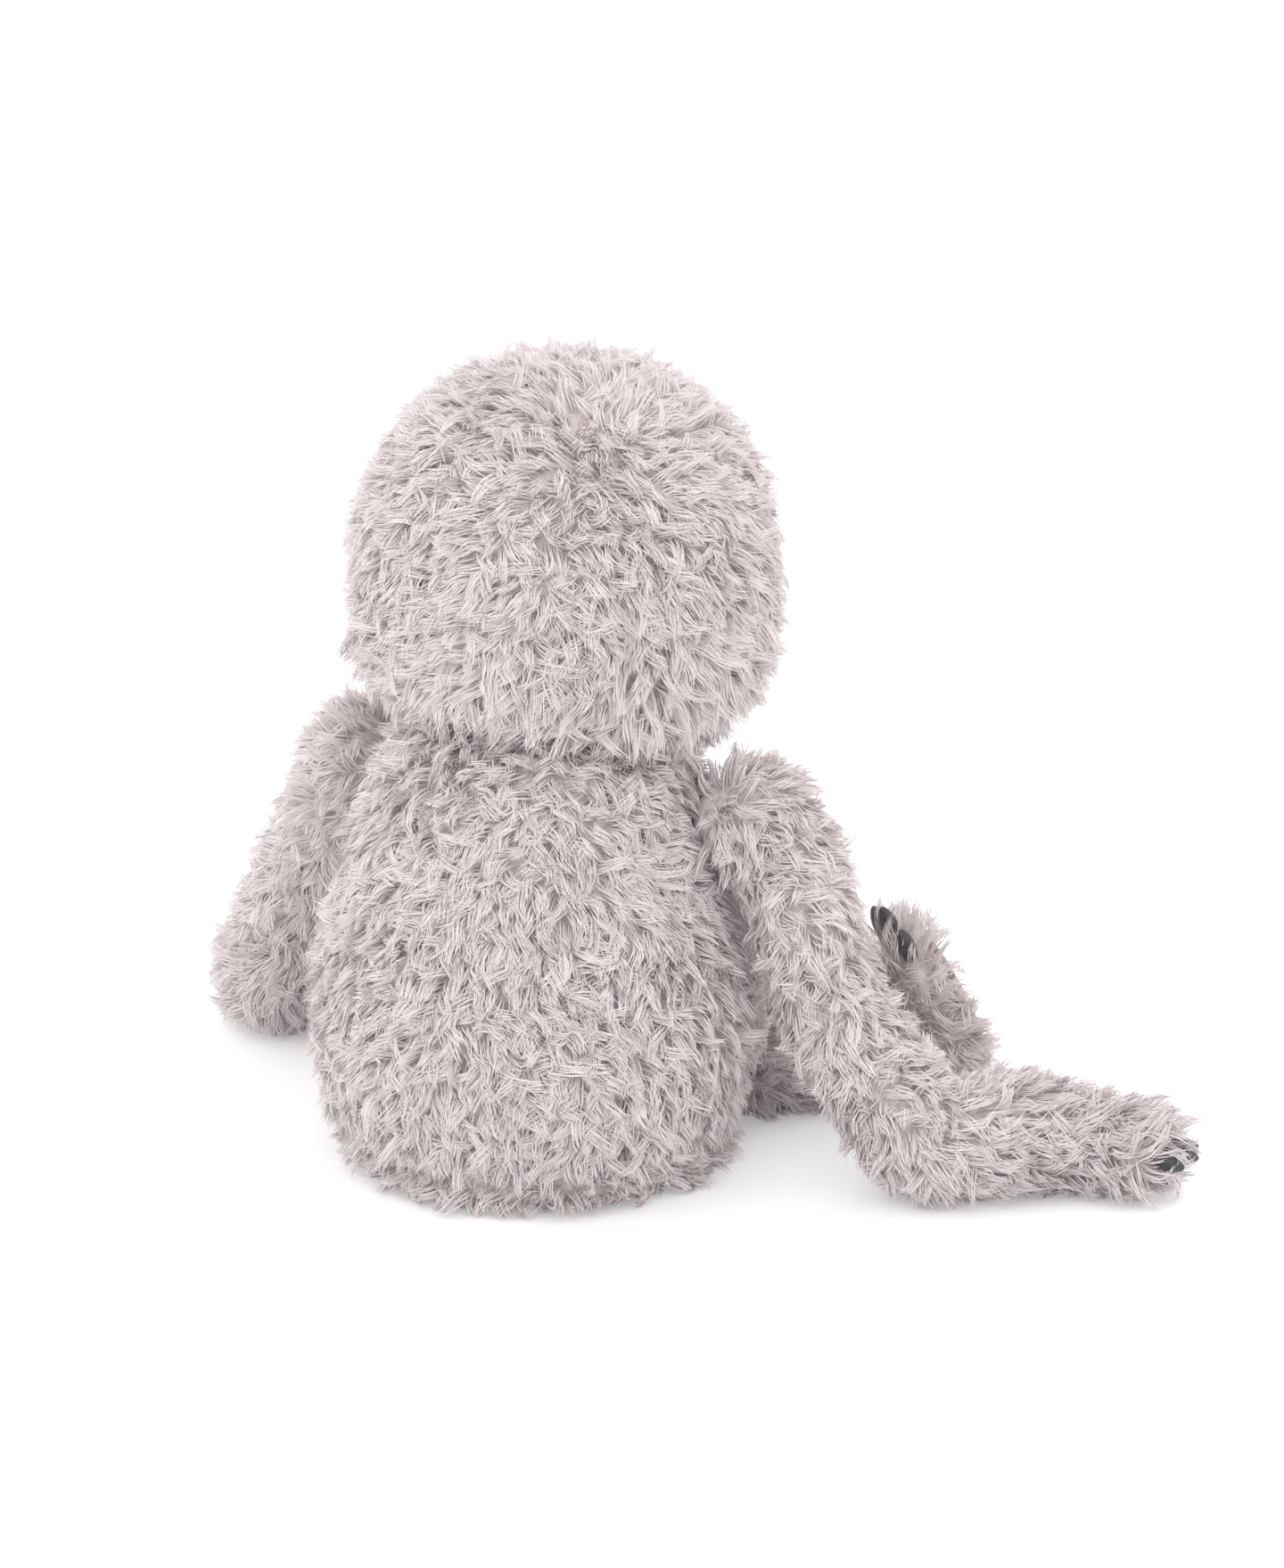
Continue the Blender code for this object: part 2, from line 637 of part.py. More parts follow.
def make_head():
    """The head's panels, its filling, and the face with its eyes, patches, muzzle and nose."""
    reach = HEAD_RADIUS + OVERRUN
    neck_space = make_neck_space()
    outer = head_form("head_outer", 0)
    lifted = head_form("head_lifted", -CLEARANCE)
    cover = cut(outer, head_form("head_cavity", CLOTH), neck_space)
    filling = cut(head_form("head_stuffing", CLOTH + CLEARANCE), neck_space)
    face_axis = frame_at((0, -HEAD_FORWARD, head_level(FACE_RISE_SHARE)), (0, -1, 0))
    face_space = rod("face_space", (FACE_HALF_WIDTH, FACE_HALF_HEIGHT), 0, reach, face_axis)
    hood_space = rod(
        "hood_space",
        (FACE_HALF_WIDTH + CLEARANCE, FACE_HALF_HEIGHT + CLEARANCE),
        -CLEARANCE,
        reach,
        face_axis,
    )
    face = kept_inside(copied(cover, "face"), face_space)
    hood = cut(cover, hood_space)
    muzzle_height = head_level(MUZZLE_RISE_SHARE)
    muzzle_place = Vector((0, face_depth(0, muzzle_height), muzzle_height))
    muzzle_radii = (MUZZLE_HALF_WIDTH, MUZZLE_DEPTH, MUZZLE_HALF_HEIGHT)
    muzzle_frame = Matrix.Translation(muzzle_place)
    muzzle = cut(ellipsoid("muzzle", muzzle_radii, muzzle_frame, PAD_SEGMENTS, PAD_RINGS), lifted)
    swollen = [radius + CLEARANCE for radius in muzzle_radii]
    muzzle_space = ellipsoid("muzzle_space", swollen, muzzle_frame, PAD_SEGMENTS, PAD_RINGS)

    pieces = []
    for side, sign in (("right", -1), ("left", 1)):
        frame = face_frame(sign * EYE_OUT, head_level(EYE_RISE_SHARE))
        bore, nest, ring = stem_fittings(side + "_eye", frame)
        patch_frame = frame @ Matrix.Rotation(sign * PATCH_TILT, 4, "Z")
        shift = Matrix.Translation((0, -PATCH_SHIFT, 0))
        oval = rod(
            side + "_patch",
            (PATCH_HALF_WIDTH, PATCH_HALF_LENGTH),
            -OVERRUN,
            OVERRUN,
            patch_frame @ shift,
        )
        patch = kept_inside(oval, head_form(side + "_patch_top", -CLEARANCE - PATCH_THICKNESS))
        patch = cut(patch, lifted, bore, muzzle_space)
        face = cut(face, bore)
        filling = cut(filling, bore, nest)
        eye = turned(side + "_stud", stud_profile(EYE_RADIUS, EYE_DOME), STUD_STEPS)
        eye.data.transform(frame @ Matrix.Translation((0, 0, PATCH_THICKNESS + EYE_LIFT)))
        pieces.append(finished(patch, "eye_patch_" + side, "patch_fabric"))
        pieces.append(finished(eye, side + "_eye", "eye_gloss"))
        pieces.append(finished(ring, side + "_eye_washer", "washer_plastic"))

    nose_frame = face_frame(0, muzzle_height + NOSE_RISE)
    stand_out = MUZZLE_DEPTH * math.sqrt(1 - (NOSE_RISE / MUZZLE_HALF_HEIGHT) ** 2)
    nose = ellipsoid(
        "nose_pad",
        (NOSE_HALF_WIDTH, NOSE_HALF_HEIGHT, NOSE_DEPTH),
        nose_frame @ Matrix.Translation((0, 0, stand_out)),
        STUD_STEPS,
        CLAW_SEGMENTS,
    )
    nose = cut(nose, muzzle_space)
    stem = rod(
        "nose_stem",
        (STEM_RADIUS, STEM_RADIUS),
        -STEM_LENGTH,
        stand_out + NOSE_DEPTH / 2,
        nose_frame,
        BORE_SIDES,
    )
    nose = joined(nose, stem)
    bore, nest, ring = stem_fittings("nose", nose_frame)
    muzzle = cut(muzzle, bore)
    face = cut(face, bore)
    filling = cut(filling, bore, nest)
    pieces.append(finished(nose, "nose", "nose_gloss"))
    pieces.append(finished(ring, "nose_washer", "washer_plastic"))
    pieces.append(finished(muzzle, "muzzle_pad", "face_fabric"))
    pieces.append(finished(face, "face_panel", "face_fabric"))
    pieces.append(finished(filling, "head_filling", "fibre_filling"))

    half = CLEARANCE / 2
    centre = head_centre()
    for side, low, high in (("right", -reach, -half), ("left", half, reach)):
        space = block(
            side + "_head_space",
            (low, centre.y - reach, centre.z - reach),
            (high, centre.y + reach, centre.z + reach),
        )
        panel = kept_inside(copied(hood, side + "_hood"), space)
        pieces.append(finished(panel, "head_back_" + side, "fur_fabric"))
    return pieces


# Arms

def shoulder(sign):
    """The centre of the ball in which an arm starts, and the body's outward direction there."""
    slope = cone_slope()
    low = (SEAT_BALL_RADIUS * math.cos(slope), SEAT_BALL_HEIGHT + SEAT_BALL_RADIUS * math.sin(slope))
    high = (CHEST_BALL_RADIUS * math.cos(slope), CHEST_BALL_HEIGHT + CHEST_BALL_RADIUS * math.sin(slope))
    out, height = [a + (b - a) * SHOULDER_RISE_SHARE for a, b in zip(low, high)]
    angle = SHOULDER_FORWARD_ANGLE
    plan = Vector((sign * math.cos(angle), -math.sin(angle), 0))
    normal = plan * math.cos(slope) + Vector((0, 0, math.sin(slope)))
    distance = SHOULDER_RADIUS + CLEARANCE - LIMB_PRESS
    return plan * out + Vector((0, 0, height)) + normal * distance, normal


def arm_route(sign):
    """An arm's centre line: down from the shoulder to the floor, then along it to the hand."""
    start = shoulder(sign)[0]
    if sign < 0:
        bend = Vector((-SEAT_BALL_RADIUS - RIGHT_BEND_ASIDE, start.y - RIGHT_BEND_FORWARD, 0))
        hand = bend + Vector((-RIGHT_HAND_OUT, -RIGHT_HAND_FORWARD, 0))
        upper_shares, fore_shares = RIGHT_UPPER_SHARES, RIGHT_FORE_SHARES
    else:
        bend = Vector((SEAT_BALL_RADIUS + LEFT_BEND_ASIDE, start.y - LEFT_BEND_FORWARD, 0))
        hand = bend + Vector((LEFT_HAND_OUT, -LEFT_HAND_FORWARD, 0))
        upper_shares, fore_shares = LEFT_UPPER_SHARES, LEFT_FORE_SHARES
    bend.z = ARM_BEND_RADIUS + FLOOR_LIFT
    hand.z = HAND_RADIUS + FLOOR_LIFT
    points = [start]
    for out, drop in upper_shares:
        level = start.lerp(bend, out)
        points.append(Vector((level.x, level.y, start.z + (bend.z - start.z) * drop)))
    points.append(bend)
    for out, advance in fore_shares:
        level = bend.lerp(hand, out)
        points.append(Vector((level.x, bend.y + (hand.y - bend.y) * advance, level.z)))
    points.append(hand)
    return Route(points)


def arm_radius(share):
    """The arm's radius by the share of its length: it swells at the bend and narrows at the hand."""
    table = (
        (0.0, SHOULDER_RADIUS),
        (ELBOW_SHARE / 2, UPPER_ARM_RADIUS),
        (ELBOW_SHARE, ELBOW_RADIUS),
        (BEND_SHARE, ARM_BEND_RADIUS),
        ((BEND_SHARE + WRIST_SHARE) / 2, FOREARM_RADIUS),
        (1.0, HAND_RADIUS),
    )
    return swell(table, share)


def elbow(sign):
    """The centre of the ball in which the upper arm ends."""
    route = arm_route(sign)
    return route.at(route.length * ELBOW_SHARE)[0]


def claw(name, root, direction, cutter):
    """One satin claw, which stands out of its paw from a cut seat."""
    turn = direction.to_track_quat("Z", "Y").to_matrix().to_4x4()
    frame = Matrix.Translation(root + direction * CLAW_STAND) @ turn
    radii = (CLAW_RADIUS, CLAW_RADIUS, CLAW_HALF_LENGTH)
    item = ellipsoid(name, radii, frame, CLAW_SEGMENTS, CLAW_RINGS)
    return cut(item, cutter)


def make_arm(side, sign):
    """An arm in two lengths, which meet at a ball, each with its cover and filling."""
    route = arm_route(sign)
    middle = route.length * ELBOW_SHARE
    centre, normal = shoulder(sign)
    joint = elbow(sign)

    def upper(name, inset):
        return tube(name, limb_stations(route, arm_radius, 0, middle, inset, True, True))

    hole = rod(
        side + "_arm_hole",
        (STUFFING_HOLE_RADIUS, STUFFING_HOLE_RADIUS),
        0,
        SHOULDER_RADIUS + OVERRUN,
        frame_at(centre, -normal),
        BORE_SIDES,
    )
    upper_cover = cut(upper(side + "_upper", 0), upper(side + "_upper_cavity", CLOTH), hole)
    upper_filling = upper(side + "_upper_stuffing", CLOTH + CLEARANCE)

    cup = clear_ball(side + "_elbow_space", joint, ELBOW_RADIUS + CLEARANCE)
    lip = middle + ELBOW_LIP

    def fore(name, inset, start):
        return tube(name, limb_stations(route, arm_radius, start, route.length, inset, False, True))

    inside = lip - ELBOW_LIP / 2
    fore_cover = cut(fore(side + "_fore", 0, lip), fore(side + "_fore_cavity", CLOTH, inside), cup)
    fore_filling = cut(fore(side + "_fore_stuffing", CLOTH + CLEARANCE, inside), cup)

    tip, heading = route.at(route.length)
    heading.z = 0
    heading.normalize()
    paw = clear_ball(side + "_paw_space", tip, HAND_RADIUS + CLEARANCE)
    claws = []
    for number, turn in enumerate((-CLAW_SPREAD, 0, CLAW_SPREAD), start=1):
        direction = Matrix.Rotation(turn, 3, "Z") @ heading
        name = f"{side}_hand_claw_{number}"
        shape = claw(name + "_shape", tip + direction * HAND_RADIUS, direction, paw)
        claws.append(finished(shape, name, "claw_satin"))
    upper_pieces = [
        finished(upper_cover, side + "_upper_arm_cover", "fur_fabric"),
        finished(upper_filling, side + "_upper_arm_filling", "fibre_filling"),
    ]
    fore_pieces = [
        finished(fore_cover, side + "_forearm_cover", "fur_fabric"),
        finished(fore_filling, side + "_forearm_filling", "fibre_filling"),
        *claws,
    ]
    return upper_pieces, fore_pieces


# Legs

def hip(sign):
    """The centre of the ball in which a leg starts, against the seat."""
    distance = SEAT_BALL_RADIUS + LEG_RADIUS + CLEARANCE - LIMB_PRESS
    height = LEG_RADIUS + FLOOR_LIFT
    out = math.sqrt(distance**2 - (SEAT_BALL_HEIGHT - height) ** 2)
    return Vector((sign * out * math.sin(HIP_SPLAY), -out * math.cos(HIP_SPLAY), height))


def foot_frame(sign):
    """The foot's middle, with Z out of its sole, Y towards its toes and X across it."""
    tall = math.hypot(FOOT_HALF_LENGTH * math.cos(FOOT_LEAN), FOOT_HALF_DEPTH * math.sin(FOOT_LEAN))
    level = Vector((sign * math.sin(LEG_SPLAY), -math.cos(LEG_SPLAY), 0))
    place = hip(sign) + level * LEG_LENGTH
    place.z = tall + FLOOR_LIFT
    ahead = level * math.cos(FOOT_LEAN) + Vector((0, 0, math.sin(FOOT_LEAN)))
    return frame_at(place, ahead)


def leg_form(name, sign, inset):
    """A short leg from its ball to its foot, with the foot standing on its heel."""
    start = hip(sign)
    frame = foot_frame(sign)
    heel = frame.to_translation()
    ankle = start.lerp(heel, ANKLE_SHARE)
    ankle.z = ANKLE_RADIUS + FLOOR_LIFT
    table = ((0.0, LEG_RADIUS), (1.0, ANKLE_RADIUS))
    route = Route([start, start.lerp(ankle, 1 / 2), ankle])
    stations = limb_stations(
        route, lambda share: swell(table, share), 0, route.length, inset, True, True
    )
    radii = (FOOT_HALF_WIDTH - inset, FOOT_HALF_LENGTH - inset, FOOT_HALF_DEPTH - inset)
    foot = ellipsoid(name + "_foot", radii, frame, FOOT_SEGMENTS, FOOT_RINGS)
    return joined(tube(name, stations), foot)


def make_leg(side, sign):
    """A leg with its cover, filling, flat sole and claws."""
    frame = foot_frame(sign)
    reach = FOOT_HALF_LENGTH + OVERRUN

    def ahead_of(name, near, far):
        return block(name, (-reach, -reach, near), (reach, reach, far), frame)

    centre = hip(sign)
    inward = Vector((0, 0, SEAT_BALL_HEIGHT)) - centre
    hole = rod(
        side + "_leg_hole",
        (STUFFING_HOLE_RADIUS, STUFFING_HOLE_RADIUS),
        0,
        LEG_RADIUS + OVERRUN,
        frame_at(centre, inward),
        BORE_SIDES,
    )
    front = ahead_of(side + "_toe_space", SOLE_DEPTH, reach)
    cover = cut(leg_form(side + "_leg", sign, 0), leg_form(side + "_leg_cavity", sign, CLOTH))
    cover = cut(cover, front, hole)
    filling = cut(leg_form(side + "_leg_stuffing", sign, CLOTH + CLEARANCE), front)
    radii = (FOOT_HALF_WIDTH, FOOT_HALF_LENGTH, FOOT_HALF_DEPTH)
    sole_low = SOLE_DEPTH + CLEARANCE
    slab = ahead_of(side + "_sole_space", sole_low, sole_low + SOLE_THICKNESS)
    sole = kept_inside(ellipsoid(side + "_sole", radii, frame, FOOT_SEGMENTS, FOOT_RINGS), slab)
    swollen = [radius + CLEARANCE for radius in radii]
    paw = ellipsoid(side + "_foot_space", swollen, frame, FOOT_SEGMENTS, FOOT_RINGS)
    turn = frame.to_3x3()
    claws = []
    for number, spread in enumerate((-FOOT_CLAW_SPREAD, 0, FOOT_CLAW_SPREAD), start=1):
        across, along = math.sin(spread), math.cos(spread)
        root = frame @ Vector((FOOT_HALF_WIDTH * across, FOOT_HALF_LENGTH * along, 0))
        direction = (turn @ Vector((across / 2, along, 0))).normalized()
        name = f"{side}_foot_claw_{number}"
        shape = claw(name + "_shape", root, direction, paw)
        claws.append(finished(shape, name, "claw_satin"))
    return [
        finished(cover, side + "_leg_cover", "fur_fabric"),
        finished(filling, side + "_leg_filling", "fibre_filling"),
        finished(sole, side + "_foot_sole", "sole_fabric"),
        *claws,
    ]


remove_everything()
parts = new_collection("plush_sloth")
cutters = new_collection("cutters")
materials = {name: make_material(name) for name in MATERIALS}
pivots = {}

body = hang("body_base", Vector((0, 0, 0)), None, make_body())
neck = hang("neck_turn", neck_pivot(), body, [make_neck()])
hang("neck_nod", neck_pivot(), neck, make_head())
for side, sign in (("right", -1), ("left", 1)):
    upper_pieces, fore_pieces = make_arm(side, sign)
    arm = hang(side + "_shoulder_swing", shoulder(sign)[0], body, upper_pieces)
    hang(side + "_elbow_bend", elbow(sign), arm, fore_pieces)
    hang(side + "_hip_lift", hip(sign), body, make_leg(side, sign))
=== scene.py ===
"""Looks for the seated plush sloth: furred covers, a short-pile face, eyes, nose, soles and claws.

Metres, +Z up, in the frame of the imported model. The fur is real mesh: tufts of tapered ribbons that grow
from a skin a few millimetres inside the solids. Sizes of the model itself keep the names they have there.
"""

import math
from bisect import bisect_left
from contextlib import contextmanager

import bmesh
import bpy
import numpy as np
from mathutils import Matrix, Vector, noise
from mathutils.kdtree import KDTree


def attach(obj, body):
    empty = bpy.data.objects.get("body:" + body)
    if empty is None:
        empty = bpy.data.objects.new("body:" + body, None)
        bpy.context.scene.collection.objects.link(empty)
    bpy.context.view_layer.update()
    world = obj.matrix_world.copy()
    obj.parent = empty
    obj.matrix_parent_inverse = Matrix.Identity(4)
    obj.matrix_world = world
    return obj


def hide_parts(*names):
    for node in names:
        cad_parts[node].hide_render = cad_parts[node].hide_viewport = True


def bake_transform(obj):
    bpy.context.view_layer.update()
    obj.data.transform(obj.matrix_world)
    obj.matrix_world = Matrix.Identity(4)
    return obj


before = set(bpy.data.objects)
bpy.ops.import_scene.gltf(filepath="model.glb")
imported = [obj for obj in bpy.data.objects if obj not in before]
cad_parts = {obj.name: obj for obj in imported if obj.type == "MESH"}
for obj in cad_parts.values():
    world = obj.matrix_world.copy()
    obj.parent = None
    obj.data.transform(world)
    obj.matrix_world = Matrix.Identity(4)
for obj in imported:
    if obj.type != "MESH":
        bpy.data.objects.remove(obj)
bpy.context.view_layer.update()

# Sizes of the model
CLOTH = 0.0025
CLEARANCE = 0.0003
FLOOR_LIFT = 0.0003
SEAT_BALL_RADIUS = 0.0655
SEAT_BALL_HEIGHT = 0.0460
CHEST_BALL_RADIUS = 0.0514
CHEST_BALL_HEIGHT = 0.1000
BASE_ROLL_RADIUS = 0.0070
BASE_ROLL_SHARE = 0.878
BASE_SEAM_HEIGHT = 0.0132
BASE_SEAM_DEPTH = 0.0028
BASE_SEAM_WIDTH = 0.0036
HEAD_RADIUS = 0.0622
HEAD_DEPTH_RADIUS = 0.0602
HEAD_HALF_HEIGHT = 0.0580
HEAD_SINK = 0.0254
HEAD_FORWARD = 0.0180
CROWN_POWER = 2.0
JOWL_POWER = 2.9
FACE_HALF_WIDTH = 0.0440
FACE_HALF_HEIGHT = 0.0380
FACE_RISE_SHARE = -0.138
EYE_RISE_SHARE = -0.009
MUZZLE_RISE_SHARE = -0.345
PATCH_THICKNESS = 0.0012
PATCH_HALF_LENGTH = 0.0165
PATCH_HALF_WIDTH = 0.0092
PATCH_TILT = math.radians(32)
PATCH_SHIFT = 0.0050
EYE_OUT = 0.0205
EYE_RADIUS = 0.0050
EYE_DOME = 0.0036
EYE_LIFT = 0.0009
MUZZLE_HALF_WIDTH = 0.0225
MUZZLE_DEPTH = 0.0110
MUZZLE_HALF_HEIGHT = 0.0150
NOSE_HALF_WIDTH = 0.0075
NOSE_DEPTH = 0.0045
NOSE_HALF_HEIGHT = 0.0050
NOSE_RISE = 0.0060
LIMB_PRESS = 0.0014
SHOULDER_FORWARD_ANGLE = math.radians(12.3)
SHOULDER_RISE_SHARE = 0.893
SHOULDER_RADIUS = 0.0165
UPPER_ARM_RADIUS = 0.0153
ELBOW_RADIUS = 0.0156
ARM_BEND_RADIUS = 0.0174
FOREARM_RADIUS = 0.0178
HAND_RADIUS = 0.0136
RIGHT_BEND_ASIDE = 0.0575
RIGHT_BEND_FORWARD = 0.0050
RIGHT_HAND_OUT = 0.0490
RIGHT_HAND_FORWARD = 0.0290
LEFT_BEND_ASIDE = 0.0545
LEFT_BEND_FORWARD = 0.0440
LEFT_HAND_OUT = 0.0140
LEFT_HAND_FORWARD = 0.0560
RIGHT_UPPER_SHARES = ((0.18, 0.14), (0.31, 0.36), (0.43, 0.60), (0.69, 0.82))
LEFT_UPPER_SHARES = ((0.33, 0.30), (0.70, 0.63))
RIGHT_FORE_SHARES = ((0.36, 0.56), (0.78, 0.92))
LEFT_FORE_SHARES = ((0.38, 0.32), (0.76, 0.70))
ELBOW_SHARE = 0.44
BEND_SHARE = 0.66
WRIST_SHARE = 0.90
LEG_RADIUS = 0.0175
ANKLE_RADIUS = 0.0165
ANKLE_SHARE = 0.72
HIP_SPLAY = math.radians(35)
LEG_SPLAY = math.radians(42.5)
LEG_LENGTH = 0.0525
FOOT_HALF_WIDTH = 0.0190
FOOT_HALF_DEPTH = 0.0130
FOOT_HALF_LENGTH = 0.0290
FOOT_LEAN = math.radians(25)
SOLE_DEPTH = 0.0080
CLAW_RADIUS = 0.0029
CLAW_HALF_LENGTH = 0.0058
CLAW_STAND = 0.0016
CLAW_SPREAD = math.radians(27)
FOOT_CLAW_SPREAD = math.radians(30)

# Skins: how far they lie inside the solids, and the height and grain of their lumps
SKIN_INSET = 0.0040
BODY_LUMPS = (0.0012, 34)
HEAD_LUMPS = (0.0012, 30)
ARM_LUMPS = (0.0009, 45)
LEG_LUMPS = (0.0007, 50)
STUB_SHARE = 0.62
ELBOW_REACH = 0.016
LEG_VOXEL = 0.0016
NECK_CLOTH = 0.0008
NECK_CLOTH_RADIUS = 0.031

# Fur: the spacing and lengths of its tufts, and the form of a tuft and a blade
SPACING = 0.0027
LIMB_SPACING = 0.0025
NAP_SPACING = 0.0011
RIM_TUFTS = 420
BODY_PILE = (0.0088, 0.0116)
BASE_PILE = (0.0070, 0.0090)
HEAD_PILE = (0.0086, 0.0114)
RIM_PILE = (0.0062, 0.0088)
NECK_PILE = (0.0062, 0.0084)
ARM_PILE = (0.0086, 0.0112)
LEG_PILE = (0.0084, 0.0108)
FACE_NAP = 0.0030
SHORT_NAP = 0.0024
LONG_LOOK = {"blades": 20, "width": 0.00037, "spread": 0.0026, "wave": 0.0020, "lean": (20, 80), "stray": 0.06}
NAP_LOOK = {"blades": 7, "width": 0.00024, "spread": 0.0007, "wave": 0.00018, "lean": (22, 66), "stray": 0}
STRAY_LONGER = 0.32
LEAN_VARIES = (11, 23)
LEAN_RANGE = (22, 130)
BLADES_SHORTER = 0.34
CURL_RATES = (3.0, 5.6)
CURL_SIZES = (0.3, 1.25)
ASIDE_SHARE = 0.30
GATHER_SHARE = 0.50
FRAY = 0.0008
BLADE_ROLL = 0.7
PALE_SHARE = 0.22
FUR_COLUMNS = 32
PIECE_LIMIT = 190000
STATIONS = np.array([0.0, 0.3, 0.58, 0.82, 1.0])
HALF_WIDTHS = np.array([0.85, 1.0, 0.95, 0.72, 0.0])
FLOOR_GAP = 0.0004

# Where the fur parts, turns and grows longer
WHORL = np.array([-0.378, 0.383, 0.843])
WHORL_SIZE = 0.03
SEAM_PARTING = 0.0028
HEM_HEIGHT = 0.011
LIMB_PARTING = 0.0040
HEAD_OVERLAP = 0.0085
FACE_RIM_WIDTH = 0.30
SHOULDER_TOP_REACH = 0.030
HAND_START_SHARE = 0.84
SOLE_PARTING_SHARE = 0.70

rng = np.random.RandomState(7)


# Vectors in bulk

def unit(vectors):
    return vectors / np.maximum(np.linalg.norm(vectors, axis=-1, keepdims=True), 1e-9)


def dot(a, b):
    return (a * b).sum(-1, keepdims=True)


def waver(points, reach):
    """An angle that changes slowly over the surface, at most about reach either way."""
    x, y, z = points[:, 0], points[:, 1], points[:, 2]
    angle = np.sin(95 * x + 40 * z + 1.3) + np.sin(88 * y - 61 * z + 0.4) + np.sin(120 * z + 73 * x - 50 * y)
    return angle * reach / 2


def fade(values, start, width):
    """0 up to start, and 1 from width beyond it."""
    return np.clip((values - start) / width, 0, 1)


def away_from(points, centre, radius):
    return np.linalg.norm(points - np.array(centre), axis=1) > radius


def oval(x, half_x, y, half_y):
    """How far out places are in an oval: 1 at its edge."""
    return np.sqrt((x / half_x) ** 2 + (y / half_y) ** 2)


def full_turn(count):
    return [2 * math.pi * step / count for step in range(count)]


def half_turn(count):
    """Angles from straight up to straight down."""
    return [math.pi / 2 - math.pi * step / count for step in range(count + 1)]


# Meshes

def smooth(mesh):
    mesh.polygons.foreach_set("use_smooth", [True] * len(mesh.polygons))
    mesh.update()


@contextmanager
def edited(mesh):
    """Opens a mesh for editing, and then writes it back and smooths it."""
    work = bmesh.new()
    work.from_mesh(mesh)
    yield work
    work.to_mesh(mesh)
    work.free()
    smooth(mesh)


def skin_mesh(name, rings, start, stop):
    """A closed skin through rings of points, drawn together to one point at each end."""
    around = len(rings[0])
    points = [start, *[point for ring in rings for point in ring], stop]
    last = len(points) - 1
    faces = []
    for c in range(around):
        n = (c + 1) % around
        faces += [(0, 1 + c, 1 + n), (last, last - around + n, last - around + c)]
        for low in range(1, last - around, around):
            faces.append((low + c, low + around + c, low + around + n, low + n))
    mesh = bpy.data.meshes.new(name)
    mesh.from_pydata([tuple(point) for point in points], [], faces)
    with edited(mesh) as work:
        bmesh.ops.recalc_face_normals(work, faces=work.faces)
    return mesh


def pad_mesh(name, at, lifts, around):
    """A closed pad through (share, lift) from the middle of its front, round its edge, to its back."""
    rings = [[at(share, angle, lift) for angle in full_turn(around)] for share, lift in lifts[1:-1]]
    return skin_mesh(name, rings, at(0, 0, lifts[0][1]), at(0, 0, lifts[-1][1]))


def turned_skin(name, profile, around, squeeze=1.0, middle=(0, 0, 0)):
    """A skin turned about Z from a profile of (radius, height). Its ends are drawn to the axis."""

    def at(radius, angle, height):
        return Vector(middle) + Vector((radius * math.cos(angle), radius * math.sin(angle) * squeeze, height))

    return pad_mesh(name, at, profile, around)


def oval_profile(radius, height, steps):
    return [(radius * math.cos(a), height * math.sin(a)) for a in half_turn(steps)]


def read(items, what, kind=float):
    values = np.empty(len(items) * 3, kind)
    items.foreach_get(what, values)
    return values.reshape(-1, 3)


def places(mesh):
    return read(mesh.vertices, "co")


def set_places(mesh, values):
    mesh.vertices.foreach_set("co", values.ravel())
    mesh.update()


def lumped(mesh, height, grain):
    """Moves the skin in and out a little, as loose stuffing does."""
    spots = places(mesh)
    lift = np.array([noise.noise(Vector(spot) * grain) for spot in spots]) * height
    set_places(mesh, spots + read(mesh.vertex_normals, "vector") * lift[:, None])


# Pieces

def new_object(name, data):
    item = bpy.data.objects.new(name, data)
    bpy.context.scene.collection.objects.link(item)
    return item


def add_piece(mesh, material, slot, body, *nodes, place=None, padded=None):
    """A visible piece named as its mesh, shown in place of the nodes named, which it hides.

    It rides on a body named by a string; given (first, second, start, end), it rides on none and stays where it
    is.
    """
    piece = new_object(mesh.name, mesh)
    mesh.materials.append(material)
    if place is not None:
        piece.matrix_world = place
    if nodes:
        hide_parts(*nodes)
    if isinstance(body, str):
        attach(piece, body)
    else:
        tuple(body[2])
        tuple(body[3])
        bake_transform(piece)


# Fur

def scattered(mesh, spacing):
    """Roots spread evenly over a mesh: their places and normals."""
    mesh.calc_loop_triangles()
    corners = read(mesh.loop_triangles, "vertices", np.int32)
    spots, normals = places(mesh), read(mesh.vertex_normals, "vector")
    a, b, c = (spots[corners[:, index]] for index in range(3))
    area = np.linalg.norm(np.cross(b - a, c - a), axis=1) / 2
    count = int(area.sum() / spacing**2 * 3.5)
    pick = corners[rng.choice(len(corners), count, p=area / area.sum())]
    u, v = rng.rand(count, 1), rng.rand(count, 1)
    over = (u + v) > 1
    u, v = np.where(over, 1 - u, u), np.where(over, 1 - v, v)
    shares = (1 - u - v, u, v)
    found = sum(spots[pick[:, index]] * share for index, share in enumerate(shares))
    facing = unit(sum(normals[pick[:, index]] * share for index, share in enumerate(shares)))
    tree = KDTree(count)
    for index, spot in enumerate(found):
        tree.insert(spot, index)
    tree.balance()
    taken = np.zeros(count, bool)
    kept = []
    for index in range(count):
        if not taken[index]:
            kept.append(index)
            for _, other, _ in tree.find_range(found[index], spacing * 0.82):
                taken[other] = True
    return found[kept], facing[kept]


